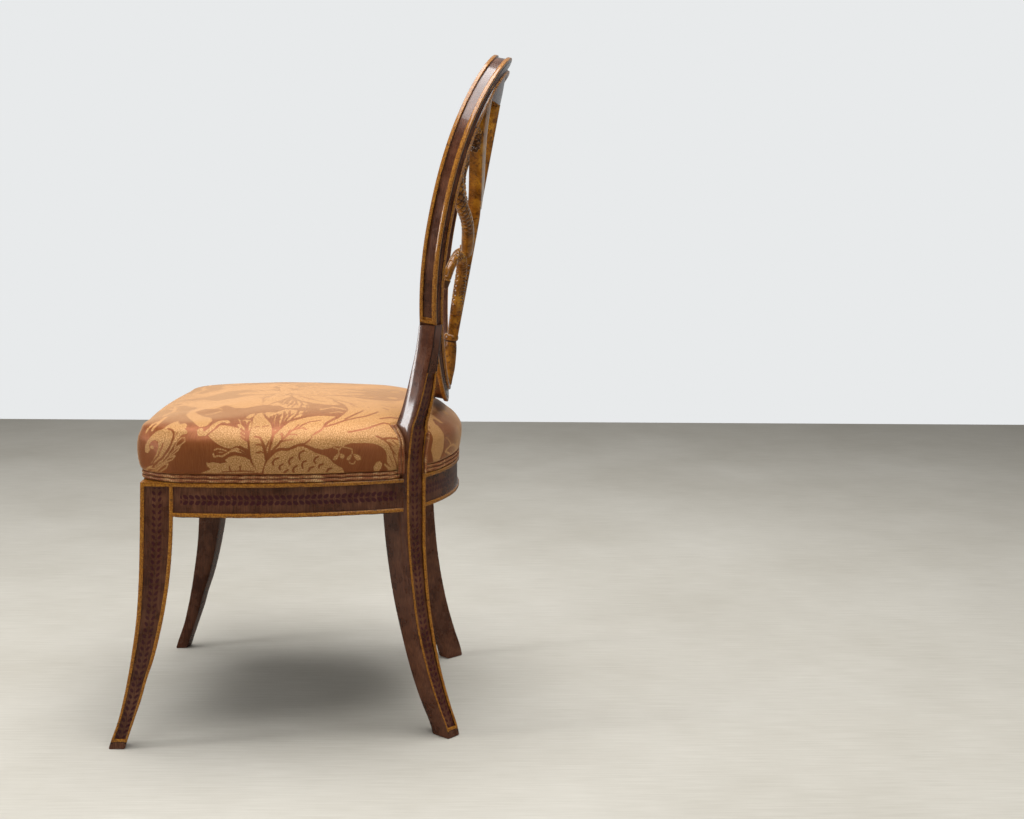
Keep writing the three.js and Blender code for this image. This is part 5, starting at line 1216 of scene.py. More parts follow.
# the profile's run at the side, where the middle is 225 mm away and the crown 86 mm up, spaces the rows
flat_run = np.stack([CUSHION_SHARES[:, 1] + CUSHION_SWELL * CUSHION_SHARES[:, 2] - 225 * CUSHION_SHARES[:, 4],
                     86 * CUSHION_SHARES[:, 0]], -1)
profile_run = run_length(flat_run)
profile_table = np.concatenate([profile_run[:, None], CUSHION_SHARES], 1)
rows_at = np.concatenate([np.arange(0, WALL_RUN, 1.5), np.linspace(WALL_RUN, profile_run[-1], 66)])
up, fixed, swell, ease, drawn = (smooth_table(profile_table, k)(rows_at)[:, None] for k in range(1, 6))
line, out = seat_outline(CUSHION_COLUMNS)
backness = eased(np.clip(line[:, 1] / BACK_FACE, 0, 1))
offset = fixed + CUSHION_SWELL * swell * (1 - backness / 2) - CUSHION_EASE * ease * backness
around = np.arange(CUSHION_COLUMNS) / CUSHION_COLUMNS * 2 * math.pi
wave = np.sin(9 * around + 4 * up) * np.sin(5 * around + 1.3) + 0.6 * np.sin(23 * around + 1 + 9 * up)
offset = offset + 0.45 * wave * np.clip(8 * up * (0.75 - up), 0, 1)
frontness = eased(np.clip((-line[:, 1] - 110) / 120, 0, 1))
offset = offset + FRONT_FULLNESS * frontness * np.exp(-((up - 0.79) / 0.1) ** 2)
place = line + out * offset[..., None]
place = place + (SEAT_MIDDLE - place) * drawn[..., None]
height = mix(WELT_TOP, CUSHION_CROWN, up) - FRONT_DROP * frontness * np.exp(-((drawn - 0.27) / 0.17) ** 2)
smooth_form = np.concatenate([place, height[..., None]], -1)


def round_stiles(form):
    """Turns the cushion's edge inward before each stile, a quarter circle from the wall to the welt, and
    moves what would lie inside the stile on to its hidden faces."""
    height = form[..., 2]
    sign = side_sign(form)
    a, b = off_rear_leg(form * sign, height)
    _, _, _, depth, width = rear_leg_at(height)
    share = (height - WELT_TOP) / (CUSHION_CROWN - WELT_TOP)
    edge = depth * smooth_table(NOTCH_SHARES, 1)(share) + NOTCH_TUCK
    turn = np.clip((a + NOTCH_REACH) / (NOTCH_REACH - NOTCH_EDGE), 0, 1)
    least = NOTCH_WALL + (edge - NOTCH_WALL) * (1 - np.sqrt(1 - turn**2))
    b = np.where((a > -NOTCH_REACH) & (a < width / 2) & (b < least) & (b > -30), least, b)
    a, b = push_out(a, b, (width / 2, -10), -STILE_AIR, width + STILE_AIR, depth + STILE_AIR)
    return on_rear_leg(height, a, b) * sign


cushion_form = round_stiles(smooth_form)
print("cushion of", cushion_form.shape[0] * cushion_form.shape[1], "points")

# %% [markdown]
# ## The cloth's own measure
# The damask is laid flat on the top and pulled straight down over the edge, so a place on the cloth
# is a place in plan, and below the shoulder as many millimetres outward as the cloth has run down.
# The pattern is drawn in that measure. It is mirrored over the seat's middle, as damask patterns are.

# %% Cloth coordinates
SHOULDER_RUN = 78.0      # run of the profile where the top ends and the cloth turns down
shoulder = int(np.searchsorted(rows_at, SHOULDER_RUN))
steps_down = np.linalg.norm(np.diff(smooth_form, axis=0), axis=2)
run_down = np.cumsum(steps_down[:shoulder][::-1], 0)[::-1]
cloth = smooth_form[..., :2].copy()
cloth[:shoulder] = smooth_form[shoulder, :, :2] + out * run_down[..., None]
print("cloth measures", np.round(np.ptp(cloth, axis=(0, 1))), "mm")

# %% [markdown]
# ## Damask figure
# The figure is a branch with feathered leaves, an acanthus fan at the front corner and a medallion.
# Its outlines were chosen in the cloth's millimetres: areas and lines, each adding to the
# figure or cutting it. A signed distance, positive inside, lets the material keep every edge crisp.

# %% Figure of the damask
# One shape up to each semicolon: half width of a line (0 for an area, and less than 0 for a cut),
# then its places on the cloth in millimetres, from the middle outward and from front to back.
FIGURE_SHAPES = """
0 40,-210 27,-197 52,-169 55,-143 65,-96 124,-87 143,-108 140,-125 116,-142 139,-154 132,-170 107,-186; 2.4
223,-239 218,-232 207,-227 199,-221; 2.6 227,-227 217,-222 188,-219 173,-218; 2.4 160,-225 134,-221
121,-212; 2.2 57,-251 24,-240 36,-217; 0 244,-296 269,-260 269,-242 265,-229 258,-220 251,-218 246,-223
245,-231 248,-238 254,-239 255,-247 248,-254 242,-247 239,-236 236,-228 233,-219 233,-210 223,-205 211,-199
207,-194 223,-188 220,-182 228,-177 237,-177 239,-179 242,-174 246,-170 249,-171 250,-177 253,-179 260,-185
267,-194 274,-206 280,-223 279,-245 264,-282; 2.6 252,-234 254,-231; -1 249,-293 272,-249 269,-226 260,-213
256,-210; -1 253,-294 277,-239 274,-217 267,-205 263,-198; -1.4 234,-203 239,-196 246,-191 253,-191 261,-195
268,-203 275,-220 276,-254; -0.8 246,-186 252,-188 260,-193; 1 255,-172 260,-170 265,-178 268,-190 260,-183
255,-177 255,-172; 1.1 266,-178 272,-183 277,-197 276,-204 270,-188 266,-178; 1.3 279,-190 283,-199 282,-220
278,-208 279,-190; 1.3 286,-212 290,-220 290,-240 284,-263 285,-240 284,-220 286,-212; 1.3 282,-220 281,-247
248,-302; 1.3 285,-244 267,-287; 0 168,-191 201,-178 225,-167 234,-160 234,-153 228,-148 213,-145 197,-149
185,-162 161,-176 129,-191; 1.8 171,-161 169,-151 154,-142; 3.8 240,-156 248,-151 247,-146 240,-143 227,-139
216,-133 214,-125 219,-122; 0 250,-141 240,-136 228,-131 228,-123 232,-112 235,-104 226,-108 223,-104
204,-111 212,-103 208,-98 210,-92 216,-89 232,-87 243,-88 256,-85 270,-83 267,-90 265,-96 265,-101 269,-109
267,-118 263,-126 257,-134; 0 270,-109 267,-100 271,-91 278,-85 275,-94 273,-103 274,-108; -1.4 283,-82
270,-83 257,-85; -2.3 256,-87 243,-90 232,-94; -1.6 234,-94 226,-100 213,-104; -1.6 230,-95 224,-97 215,-99;
-1.6 232,-93 226,-93 216,-92; -1.3 244,-91 241,-96 236,-101; -1.2 251,-88 248,-94 244,-98; -1.1 258,-86
255,-91 251,-96; -1 271,-83 268,-90 265,-96; -1.1 278,-82 275,-90 271,-96; 1.1 271,-131 269,-127 270,-120
272,-114; 1.3 276,-133 281,-132 279,-126 280,-121 276,-114 272,-108; 0.8 274,-125 274,-119; 0 288,-144
295,-143 299,-138 302,-146 306,-152 306,-133 306,-104 303,-71 298,-73 290,-79 284,-82 281,-87 279,-96
278,-104 281,-112 285,-117 288,-115 290,-124 288,-135 290,-140; -0.9 303,-122 301,-96 301,-76; -0.9 294,-111
298,-111 302,-109; -0.9 293,-96 298,-96 302,-95; 0 202,-100 185,-97 177,-90 193,-89 205,-94; 0 180,-87
173,-80 192,-73 209,-67 223,-61 237,-57 247,-54 256,-55 265,-55 273,-57 284,-60 295,-63 303,-65 303,-70
297,-73 287,-78 277,-81 266,-82 254,-84 241,-86 224,-87 202,-89; -1.3 250,-77 251,-70 257,-66 263,-63; -1.9
263,-64 271,-61 281,-59; -1 262,-74 261,-69 264,-64; -1 273,-73 271,-67 273,-61; -0.8 255,-57 262,-59
268,-61; -0.7 262,-63 263,-59; -0.7 232,-82 230,-76; -0.8 231,-72 227,-64; 0 177,-77 171,-72 173,-62 164,-56
155,-51 154,-40 162,-27 159,-16 193,-23 203,-35 220,-43 232,-48 242,-52 230,-56 213,-61 197,-69; -1.5
281,-59 271,-56 256,-54 244,-53 230,-57 213,-63 194,-65; -1.5 215,-63 199,-71 182,-76; -1.6 243,-53 234,-48
221,-43 208,-36 196,-25 186,-14; -1.5 232,-56 213,-60 187,-61; -1.5 234,-52 216,-55 191,-56; -1.5 232,-49
208,-53 181,-52; -1.5 226,-46 204,-46 180,-44; -1.5 218,-43 195,-40 177,-35; -1.5 208,-51 179,-58; -1.5
195,-46 167,-49; -1.5 192,-39 161,-42; -1.5 201,-34 179,-28 176,-20; -1.5 187,-30 160,-29; -1.5 179,-21
162,-20; 0 246,-51 238,-47 224,-41 213,-35 204,-25 192,-12 185,1 183,15 185,27 200,20 210,14 226,11 237,1
246,-2 253,-9 255,-16 259,-24 263,-30 263,-41 267,-48 273,-53 266,-54 256,-52; -1.3 278,-56 269,-52 261,-45
254,-41 246,-35 236,-30 230,-22 220,-16 210,-7 204,6; -0.9 249,-38 244,-43 241,-42; -0.9 253,-40 243,-40;
-0.9 246,-35 242,-30 242,-21; -0.8 255,-40 252,-34 250,-25; -1.1 235,-28 221,-22; -1 231,-22 228,-15
231,-10; -0.9 244,-34 234,-32; 0 278,-53 270,-46 267,-39 267,-31 263,-23 259,-17 258,-9 261,0 264,8 265,15
266,24 269,30 273,35 276,42 278,50 282,54 287,57 297,22 302,-23 304,-62 292,-61 283,-57; -1.2 278,-42
280,-47 285,-50 289,-48; -1.2 286,-35 289,-39 292,-40 295,-38; -1.2 275,-22 278,-26 282,-27 286,-25; -1.2
264,-8 267,-13 272,-14 277,-12; -1.2 278,-3 280,-7 285,-8 289,-6; -1.3 287,-15 290,-19 294,-20 297,-18; -1.2
269,13 272,9 276,8 279,11; -1.3 285,9 288,4 293,3; -1.3 294,-27 299,-32; -1.3 278,22 281,17 285,17; -1.3
282,35 284,31 289,30; 0 255,-8 249,-2 240,1 231,11 217,16 205,22 192,31 173,37 152,41 136,46 111,51 87,63
74,78 100,86 128,86 135,93 119,118 174,124 212,134 232,149 242,164 266,128 251,114 243,111 237,105 234,96
233,84 235,72 240,55 244,48 248,43 250,33 254,27 258,17 258,7 256,-1; -1.7 220,16 211,28 198,40 186,54
176,68 159,80 143,87 133,96; -1.7 192,41 170,53 152,62 124,70; -1.3 224,48 219,57 214,66 207,77 197,88
189,96 188,103 193,110; -1.7 178,90 166,103 160,116; -1.3 223,95 216,108 208,126; -1.3 221,86 222,95 225,107
231,118 238,128 245,144; -0.9 223,108 225,119; -0.9 218,113 219,124; -0.9 230,113 232,130; -1 252,113
255,130; -1 241,116 249,133; -1.1 142,49 121,53; -1.1 123,60 99,65; -1.1 112,72 87,76; 2 154,1 140,11 135,22
149,37; 1.8 169,17 160,28 163,34; 0 80,103 63,108 62,117 107,119 104,113; 1.1 252,32 253,40 248,43 248,50
248,57 254,59; 1 252,39 259,41; 0 259,39 264,35 269,34 270,38 265,41 260,41; 0 258,42 258,48 261,50 266,47
263,43; 0 255,58 260,54 265,53 265,58 259,59; 0 254,60 253,66 256,71 260,72 262,68 258,63; 1 267,58 269,61
268,65 264,66; 0 258,94 254,100 257,106 264,106 272,103 273,94 266,91; 1.7 256,111 258,122 254,133; 0
134,162 116,175 121,189 127,198 135,211 147,218 149,229 173,215 170,186 158,177 151,169; 2 127,217 105,219
89,224 67,237 60,247 89,245 127,217
"""
TOP_FOLD = 150.0         # the top's middle repeats the pattern beyond this line, mirrored at it
FRONT_FOLD = -235.0
BACK_FOLD = 140.0
NEAR = 7                 # places this far from a shape's box are left alone
FAR_OUTSIDE = -6.0


def to_path(points, path):
    """Distance to a path: to each stretch p to q it is |x - p - t(q - p)|, t the share of the foot."""
    nearest = np.full(len(points), 1e9)
    for start, end in zip(path[:-1], path[1:]):
        along = end - start
        t = np.clip((points - start) @ along / max(along @ along, 1e-9), 0, 1)
        nearest = np.minimum(nearest, np.linalg.norm(points - start - t[:, None] * along, axis=1))
    return nearest


def inside_path(points, path):
    """True where a ray to the right crosses the closed path an odd number of times."""
    odd = np.zeros(len(points), bool)
    for (x0, y0), (x1, y1) in zip(path[:-1], path[1:]):
        if y0 != y1:
            crosses = (y0 > points[:, 1]) != (y1 > points[:, 1])
            odd ^= crosses & (points[:, 0] < x0 + (points[:, 1] - y0) * (x1 - x0) / (y1 - y0))
    return odd


def figure_at(places):
    """Signed distance into the figure: shapes that add take the larger value, those that cut the smaller."""
    value = np.full(len(places), FAR_OUTSIDE)
    for shape in FIGURE_SHAPES.split(";"):
        half_width, *path = shape.split()
        half_width, path = float(half_width), np.array([place.split(",") for place in path], float)
        near = np.all((places > path.min(0) - NEAR) & (places < path.max(0) + NEAR), axis=1)
        if not near.any():
            continue
        spot = places[near]
        if half_width:
            depth = abs(half_width) - to_path(spot, path)
        else:
            ring = np.concatenate([path, path[:1]])
            depth = to_path(spot, ring) * np.where(inside_path(spot, ring), 1, -1)
        value[near] = np.minimum(value[near], -depth) if half_width < 0 else np.maximum(value[near], depth)
    return value


cloth_x, cloth_y = np.abs(cloth[..., 0]).ravel(), cloth[..., 1].ravel()
figure = figure_at(np.stack([cloth_x, cloth_y], -1))
middle = cloth_x < TOP_FOLD
folded_y = np.where(cloth_y < FRONT_FOLD, 2 * FRONT_FOLD - cloth_y, cloth_y)
folded_y = np.where(folded_y > BACK_FOLD, 2 * BACK_FOLD - folded_y, folded_y)
folded = np.stack([2 * TOP_FOLD - cloth_x, folded_y], -1)[middle]
fading = np.clip((cloth_y - 160) / 2, 0, 12) * np.clip((cloth_x - 60) / 12, 0, 1)
figure[middle] = np.maximum(figure[middle], figure_at(folded) - fading[middle])
figure = figure.reshape(cloth.shape[:2])
print("figure covers", round(float((figure > 0).mean()), 2), "of the cloth's points")

# %% [markdown]
# ## Silk damask
# Figure and ground are the same threads: the ground is satin that shows the copper warp, the figure
# is the back of it and shows the golden weft. So they differ in colour, gloss and thread direction.
# The threads are drawn about three times their true width, because real ones would vanish. Seen at a
# low angle, silk shows a pale sheen that hides the figure, as on the top of this seat; that sheen is
# painted into the colour by the angle.

# %% Damask material
THREAD = 0.9             # millimetres between drawn threads
WAVES_PER_UNIT = 0.314   # the wave texture's scale that gives one band per unit
SILK_SHEEN = "#f2c79c"


def damask_material():
    """Copper ground, golden figure where figure > 0 (mm), both painted paler by the turn away from the eye as
    sheen; thread waves cross each other as a bump."""
    material, tree = new_material("silk damask in copper and gold")
    threads = cloth_place(tree)
    slub = noise(tree, stretched(tree, threads, (0.05, 0.9, 1)), 1.0, 4.0, 0.6)
    grain = noise(tree, threads, 0.55, 3.0, 0.7)
    ground = ramp(tree, slub, (0.35, "#8f4d26"), (0.5, "#995629"), (0.66, "#a36034"))
    gold = ramp(tree, grain, (0.36, "#a36d34"), (0.5, "#c68e52"), (0.62, "#deaf77"))
    frayed = calculate(tree, "MULTIPLY_ADD", grain, 0.8, -0.4)
    edge = calculate(tree, "ADD", point_value(tree, "figure"), frayed)
    mask = span(tree, edge, -0.3, 0.3, 0.0, 1.0)
    woven = painted(tree, mask, ground, gold)
    rim = span(tree, calculate(tree, "ABSOLUTE", edge), 0.2, 1.0, 0.4, 0.0)
    rimmed = painted(tree, rim, woven, "#9c5a2e")
    tone = span(tree, noise(tree, object_place(tree), 11.0, 3.0), 0.3, 0.7, 0.9, 1.08)
    toned = painted(tree, 1.0, rimmed, tone, "MULTIPLY")
    # painted sheen: the colour turns pale where the cloth is seen edge on
    painted_sheen = ramp(tree, turned_away(tree), (0.56, 0.0), (0.7, 0.15), (0.8, 0.6), (0.9, 0.94))
    colour = painted(tree, painted_sheen, toned, "#dba877")
    waves = {"Vector": threads, "Scale": WAVES_PER_UNIT / THREAD, "Distortion": 0.6}
    warp, weft = (add(tree, "TexWave", waves, bands_direction=axis).outputs["Fac"] for axis in "XY")
    raised = calculate(tree, "MULTIPLY_ADD", mask, 0.8, between(tree, mask, warp, weft))
    skin(tree, {"Base Color": colour, "Roughness": between(tree, mask, 0.4, 0.55),
                "Metallic": between(tree, mask, 0.3, 0.12), "Normal": relief(tree, raised, 0.3, 0.0003),
                "Specular IOR Level": 0.4, "Sheen Weight": 0.12, "Sheen Roughness": 0.35,
                "Sheen Tint": linear(SILK_SHEEN)})
    return material


damask = damask_material()
cushion = make_piece("seat_cushion", cushion_form, "damask", damask, values={"figure": figure},
                     uv=seam_uv(cloth[..., 0], cloth[..., 1]))

# %% [markdown]
# ## Double welt
# Two cords are covered with bias strips of the damask and sewn side by side; they hide the tacks at
# the rail and turn up at the stiles. Cloth on the bias gathers in small slanting folds, which here
# are dents of the radius, r (1 - depth), that wind round the cord as the negative half of a sine.

# %% Welts
PUCKER = 3.4             # millimetres between folds
PUCKER_DEPTH = 0.1       # share of the radius
WELT_INSET = 2.5         # from the outline in to the cords' middle
CORD_AROUND = full_turn(14)


def welt_material():
    """Bias-cut damask: copper and gold by stretched noise, with painted shade in the folds and seams."""
    material, tree = new_material("bias-cut damask on cord")
    place = cloth_place(tree)
    patch = noise(tree, stretched(tree, place, (0.16, 0.06, 1), 0.6), 1.0, 3.0, 0.6)
    colour = ramp(tree, patch, (0.44, "#8c4b24"), (0.53, "#b07040"), (0.62, "#e6ba80"))
    # painted shade: the folds and the seam between the cords are darkened
    folds = span(tree, point_value(tree, "hollow"), 0.0, 1.0, 0.0, 0.75)
    normal = relief(tree, noise(tree, place, 1.4, 3.0), 0.3, 0.0003)
    skin(tree, {"Base Color": painted(tree, folds, colour, "#5e2f16"), "Roughness": 0.55, "Normal": normal,
                "Specular IOR Level": 0.35, "Sheen Weight": 0.2, "Sheen Tint": linear(SILK_SHEEN)})
    return material


def cord(line, outward_at, radius):
    """A cord along a line: circles square to it, with slanting folds and rounded ends. The folds and the
    seam on either flank are its hollows, which the welt's finish paints darker as shade."""
    run = run_length(line)
    even = np.linspace(0, run[-1], int(run[-1]) + 2)
    line = np.stack([np.interp(even, run, line[:, k]) for k in range(3)], -1)
    out = np.stack([np.interp(even, run, outward_at[:, k]) for k in range(3)], -1)
    along = unit(np.gradient(line, axis=0))
    out = unit(out - along * np.einsum("ij,ij->i", out, along)[:, None])
    side = np.cross(along, out)
    ends = np.clip(np.minimum(even, even[-1] - even) / radius, 0.05, 1)
    dome = np.sqrt(1 - (1 - ends) ** 2)[:, None]
    phase = 2 * math.pi * even[:, None] / PUCKER + 2 * CORD_AROUND + 1.5 * np.sin(even[:, None] / 17)
    depth = np.clip(-np.sin(phase), 0, 1)
    reach = (radius * dome * (1 - PUCKER_DEPTH * depth))[..., None]
    grid = line[:, None] + reach * (np.cos(CORD_AROUND)[:, None] * out[:, None]
                                    + np.sin(CORD_AROUND)[:, None] * side[:, None])
    uv = seam_uv(np.broadcast_to(CORD_AROUND * radius, depth.shape), even[:, None] * np.ones_like(depth))
    seam = np.clip((np.abs(np.sin(CORD_AROUND)) - 0.7) / 0.15, 0, 1) * np.ones_like(depth)
    return grid, {"hollow": np.maximum(depth, seam)}, uv


welt_cloth = welt_material()
line, out = seat_outline(1500)
a, _ = off_rear_leg(line * side_sign(line), np.full(len(line), RAIL_TOP))
before_stile = np.flatnonzero(a < -0.5)
behind_stile = np.flatnonzero(a > float(rail_leg_width) + 0.5)
jump = int(np.argmax(np.diff(before_stile))) + 1
front_run = np.concatenate([before_stile[jump:], before_stile[:jump]])
for run_name, chosen in (("welt_front", front_run), ("welt_back", behind_stile)):
    for layer, lift in (("", CORD / 2), ("_upper", 3 * CORD / 2)):
        middle_line = line[chosen] - out[chosen] * WELT_INSET
        level = np.full((len(chosen), 1), WELT_BOTTOM + lift)
        flat_out = np.concatenate([out[chosen], np.zeros_like(level)], 1)
        grid, values, uv = cord(np.concatenate([middle_line, level], 1), flat_out, CORD / 2)
        make_piece(run_name + layer, grid, "welt_cord", welt_cloth, values=values, uv=uv, replaces=not layer)

# %% [markdown]
# Cord finishes the cut-out too. On the plain face a double one climbs and curves forward to the
# stile's front edge, and on the panelled face a single one runs up the inner lip. Both are pressed a
# little into the stile, so that no gap shows.

# %% Notch welts
SIDE_NOTCH = np.array(NOTCH_SHARES[:7])
REAR_NOTCH = np.array([[-0.1, 0.9], [0.04, 0.9], [0.2, 0.9], [0.36, 0.9], [0.6, 0.93]])
NOTCH_CORD = CORD / 2 - 0.1
SECOND_CORD = 5.6        # from the first cord's middle to the second's
PRESSED = 0.35           # the cord is pressed this flat against the stile


def notch_line(table, on_side, sideways, deeper):
    """Places up a notch, and the face's outward direction there."""
    share = np.linspace(table[0, 0], table[-1, 0], 60)
    along = smooth_table(table, 1)(share)
    height = mix(WELT_TOP, CUSHION_CROWN, share)
    _, _, turn, depth, width = rear_leg_at(height)
    lift = NOTCH_CORD - PRESSED + sideways
    if on_side:
        place = on_rear_leg(height, -lift, depth * along + deeper)
        outward_at = np.stack([np.cos(turn), -np.sin(turn), 0 * turn], -1)
    else:
        place = on_rear_leg(height, width * along + deeper, -lift)
        outward_at = np.stack([np.sin(turn), np.cos(turn), 0 * turn], -1)
    return place, outward_at


for name, table, on_side, sideways, deeper in (
        ("notch_welt_side", SIDE_NOTCH, True, 0, 0),
        ("notch_welt_side_outer", SIDE_NOTCH, True, SECOND_CORD, 1.2),
        ("notch_welt_rear", REAR_NOTCH, False, 0, 0)):
    grid, values, uv = cord(*notch_line(table, on_side, sideways, deeper), NOTCH_CORD)
    both_sides(name, grid, "welt_cord", welt_cloth, values=values, uv=uv, replaces="outer" not in name)

# %% [markdown]
# ## Dust cover
# A black cambric cloth is stretched over the frame's underside and tacked to the rails, cut round the
# legs. It hangs a few millimetres in the middle, like a very shallow dish.

# %% Dust cover
DUST_INSET = 7.0
DUST_THICKNESS = 0.8
DUST_SAG = 5.0
DUST_TOP = RAIL_BOTTOM - 0.4
DUST_COLUMNS = 720
DUST_ROWS = 40           # from the edge to the middle, on either face
TACKS = 60
LEG_AIR = 0.6
CAMBRIC_THREAD = 1 / 0.83            # millimetres between drawn threads

line, out = seat_outline(DUST_COLUMNS)
edge_line = line - out * DUST_INSET
under = np.full(len(line), RAIL_BOTTOM)
sign = side_sign(edge_line)
a, b = off_rear_leg(edge_line * sign, under)
_, _, _, under_depth, under_width = rear_leg_at(under)
a, b = push_out(a, b, (under_width / 2, -10), -LEG_AIR, under_width + LEG_AIR, under_depth + LEG_AIR)
edge_line = on_rear_leg(under, a, b)[:, :2] * sign
leg_share = RAIL_BOTTOM / RAIL_TOP
leg_y = -FRONT_FACE - FRONT_LEG_SWEEP * float(front_sweep(leg_share))
leg_x = FRONT_HALF_WIDTH + FRONT_LEG_SPLAY * (1 - leg_share)
leg_w = mix(FRONT_FOOT_WIDTH, FRONT_LEG_WIDTH, leg_share) + LEG_AIR
leg_d = mix(FRONT_FOOT_DEPTH, FRONT_LEG_DEPTH, float(front_depth(leg_share))) + LEG_AIR
a, b = push_out(leg_x - edge_line[:, 0] * sign[:, 0], edge_line[:, 1] - leg_y, (-8, -8), -1e6, leg_w, leg_d)
edge_line = np.stack([(leg_x - a) * sign[:, 0], leg_y + b], -1)

inward = np.concatenate([np.linspace(0.985, 0, DUST_ROWS), np.linspace(0, 0.985, DUST_ROWS)])[:, None]
below = (np.arange(2 * DUST_ROWS) < DUST_ROWS)[:, None]
sag = DUST_SAG * (1 - (1 - inward) ** 2) + DUST_THICKNESS * below
plan_grid = edge_line + (SEAT_MIDDLE - edge_line) * inward[..., None]
around = np.arange(DUST_COLUMNS) / DUST_COLUMNS * 2 * math.pi
tack_ripple = 0.5 * np.sin(around * TACKS) * np.exp(-inward / 0.03)
level = DUST_TOP - sag - 0.3 * (1 + tack_ripple)
cover_grid = np.concatenate([plan_grid, level[..., None]], -1)


def cambric_material():
    """Black cambric: two near-blacks in a plain weave, drawn at 1.2 mm, with dust by noise."""
    material, tree = new_material("black cambric")
    place = cloth_place(tree)
    blacks = {1: linear("#171515"), 2: linear("#211e1d")}
    weave = add(tree, "TexChecker", {"Vector": place, "Scale": 1 / CAMBRIC_THREAD, **blacks})
    veil = span(tree, noise(tree, place, 0.03, 5.0), 0.45, 0.75, 0.0, 0.3)
    colour = painted(tree, veil, weave.outputs[0], "#4a443f")
    normal = relief(tree, weave.outputs["Fac"], 0.3, 0.0004)
    skin(tree, {"Base Color": colour, "Roughness": 0.9, "Normal": normal})
    return material


cover = make_piece("dust_cover", cover_grid, "cambric", cambric_material(),
                   uv=seam_uv(plan_grid[..., 0], plan_grid[..., 1]))

# %% [markdown]
# ## Hidden wood and screws
# Deck, corner blocks and dowels keep the solids' own shapes: flat boards and straight pins need no
# more. They are bare beech, and the screws are zinc-plated steel, so only their finish is new.

# %% Beech and steel
def beech_material():
    """Bare beech: long streaks of two tans with short dark flecks, all from stretched noise."""
    material, tree = new_material("bare beech")
    place = object_place(tree)
    streak = noise(tree, stretched(tree, place, (9, 120, 120)), 1.0, 5.0)
    fleck = noise(tree, stretched(tree, place, (160, 900, 900)), 1.0, 2.0)
    tan = ramp(tree, streak, (0.35, "#b98d5f"), (0.65, "#cfa878"))
    colour = painted(tree, span(tree, fleck, 0.6, 0.7, 0.0, 0.6), tan, "#8a6340")
    skin(tree, {"Base Color": colour, "Roughness": 0.65, "Normal": relief(tree, streak, 0.2, 0.0005)})
    return material


def steel_material():
    """Zinc-plated steel: a metal whose roughness and tint vary with fine noise."""
    material, tree = new_material("zinc-plated steel")
    spangle = noise(tree, object_place(tree), 700.0, 3.0)
    tint = ramp(tree, spangle, (0.35, "#a3a39c"), (0.65, "#c4c3ba"))
    rough = span(tree, spangle, 0.3, 0.7, 0.25, 0.45)
    skin(tree, {"Base Color": tint, "Metallic": 1.0, "Roughness": rough})
    return material


beech, steel = beech_material(), steel_material()
kept_nodes = {name: node for name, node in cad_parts.items()
              if "dowel" in name or "block" in name or "screw" in name or name == "seat_deck"}
for name, node in kept_nodes.items():
    finish = steel if "screw" in name else beech
    for place in range(len(node.data.materials)):
        node.data.materials[place] = finish
print(len(kept_nodes), "nodes keep their solids")

# %% [markdown]
# ## Light and floor
# The chair stands in soft studio light: a broad panel overhead, a weaker key beside the camera and a
# window in front, whose reflection shines on the stile and the shoulder of the seat. The wall is the
# world's colour for the camera's rays, and lacquer that looks away from the camera mirrors a third of
# it. The floor is plain concrete. Gloss sees it dark, or its pale mirror image would grey the wood.

# %% Stage, lights and world
FLOOR_FAR_EDGE = -2.86   # metres; the horizon of the photograph's floor
FLOOR_REACH = 6


def area_light(name, place, target, size, power):
    """A rectangular soft light, size in metres and power in watts, turned to look at its target."""
    data = bpy.data.lights.new(name, "AREA")
    data.shape = "RECTANGLE"
    data.size, data.size_y = size
    data.energy = power
    lamp = placed(name, data)
    look = (Vector(target) - Vector(place)).to_track_quat("-Z", "Y")
    lamp.matrix_world = Matrix.Translation(place) @ look.to_matrix().to_4x4()


for lamp_settings in (("overhead", (0.2, 0.1, 2.9), (0, 0, 0), (2.2, 2.6), 108),
                      ("key", (3.0, 1.7, 2.0), (0, 0, 0.4), (1.8, 1.8), 16),
                      ("window", (0.8, -3.1, 1.1), (0.19, 0.14, 0.5), (0.62, 1.0), 34)):
    area_light(*lamp_settings)


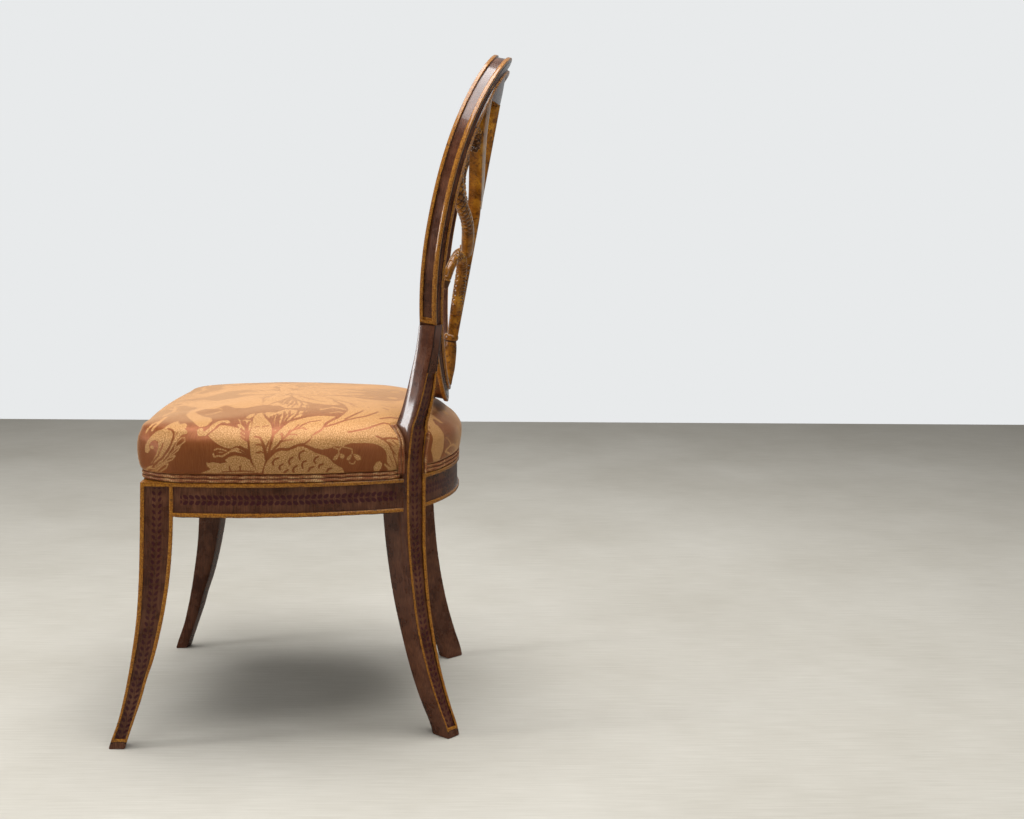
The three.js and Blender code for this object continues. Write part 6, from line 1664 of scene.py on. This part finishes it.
def floor_material():
    """Pale concrete: two greys mixed by broad and fine noise, with fine brushed lines across."""
    material, tree = new_material("brushed concrete")
    place = object_place(tree)
    broad = noise(tree, place, 2.2, 6.0, 0.6)
    brushed = noise(tree, stretched(tree, place, (260, 12, 1)), 1.0, 2.0)
    colour = ramp(tree, between(tree, 0.35, broad, brushed), (0.3, "#bfbaae"), (0.7, "#d6d2c8"))
    in_gloss = calculate(tree, "MULTIPLY", add(tree, "LightPath").outputs["Is Glossy Ray"], 0.8)
    skin(tree, {"Base Color": painted(tree, in_gloss, colour, "#2a2622"), "Roughness": 0.72,
                "Specular IOR Level": 0.2, "Normal": relief(tree, brushed, 0.15, 0.001)})
    return material


floor_mesh = bpy.data.meshes.new("floor")
floor_corners = [(x, y, 0) for x, y in
                 ((FLOOR_FAR_EDGE, -FLOOR_REACH), (FLOOR_REACH, -FLOOR_REACH),
                  (FLOOR_REACH, FLOOR_REACH), (FLOOR_FAR_EDGE, FLOOR_REACH))]
floor_mesh.from_pydata(floor_corners, [], [(0, 1, 2, 3)])
floor_mesh.materials.append(floor_material())
floor = placed("floor", floor_mesh)

world = bpy.data.worlds.new("studio")
bpy.context.scene.world = world
world.use_nodes = True
sky = world.node_tree
sky.nodes.clear()
ray = add(sky, "LightPath")
toward = add(sky, "SeparateXYZ", {0: add(sky, "TexCoord").outputs["Generated"]})
mirrored = span(sky, toward.outputs["X"], -0.35, -0.95, 0.0, 0.3)
glossy = calculate(sky, "MULTIPLY", ray.outputs["Is Glossy Ray"], mirrored)
seen = calculate(sky, "MAXIMUM", ray.outputs["Is Camera Ray"], ray.outputs["Is Transmission Ray"])
seen = calculate(sky, "MAXIMUM", seen, glossy)
ambient = add(sky, "Background", {"Color": linear("#f4f3f0"), "Strength": 0.12})
wall = add(sky, "Background", {"Color": linear("#e8eaeb"), "Strength": 1.0})
blend = add(sky, "MixShader", {0: seen, 1: ambient.outputs[0], 2: wall.outputs[0]})
add(sky, "OutputWorld", {0: blend.outputs[0]})
print("stage and lights ready")

# %% [markdown]
# Plain colour management shows the colours as they were written, with no film curve over them.

# %% Colour management
bpy.context.scene.view_settings.view_transform = "Standard"
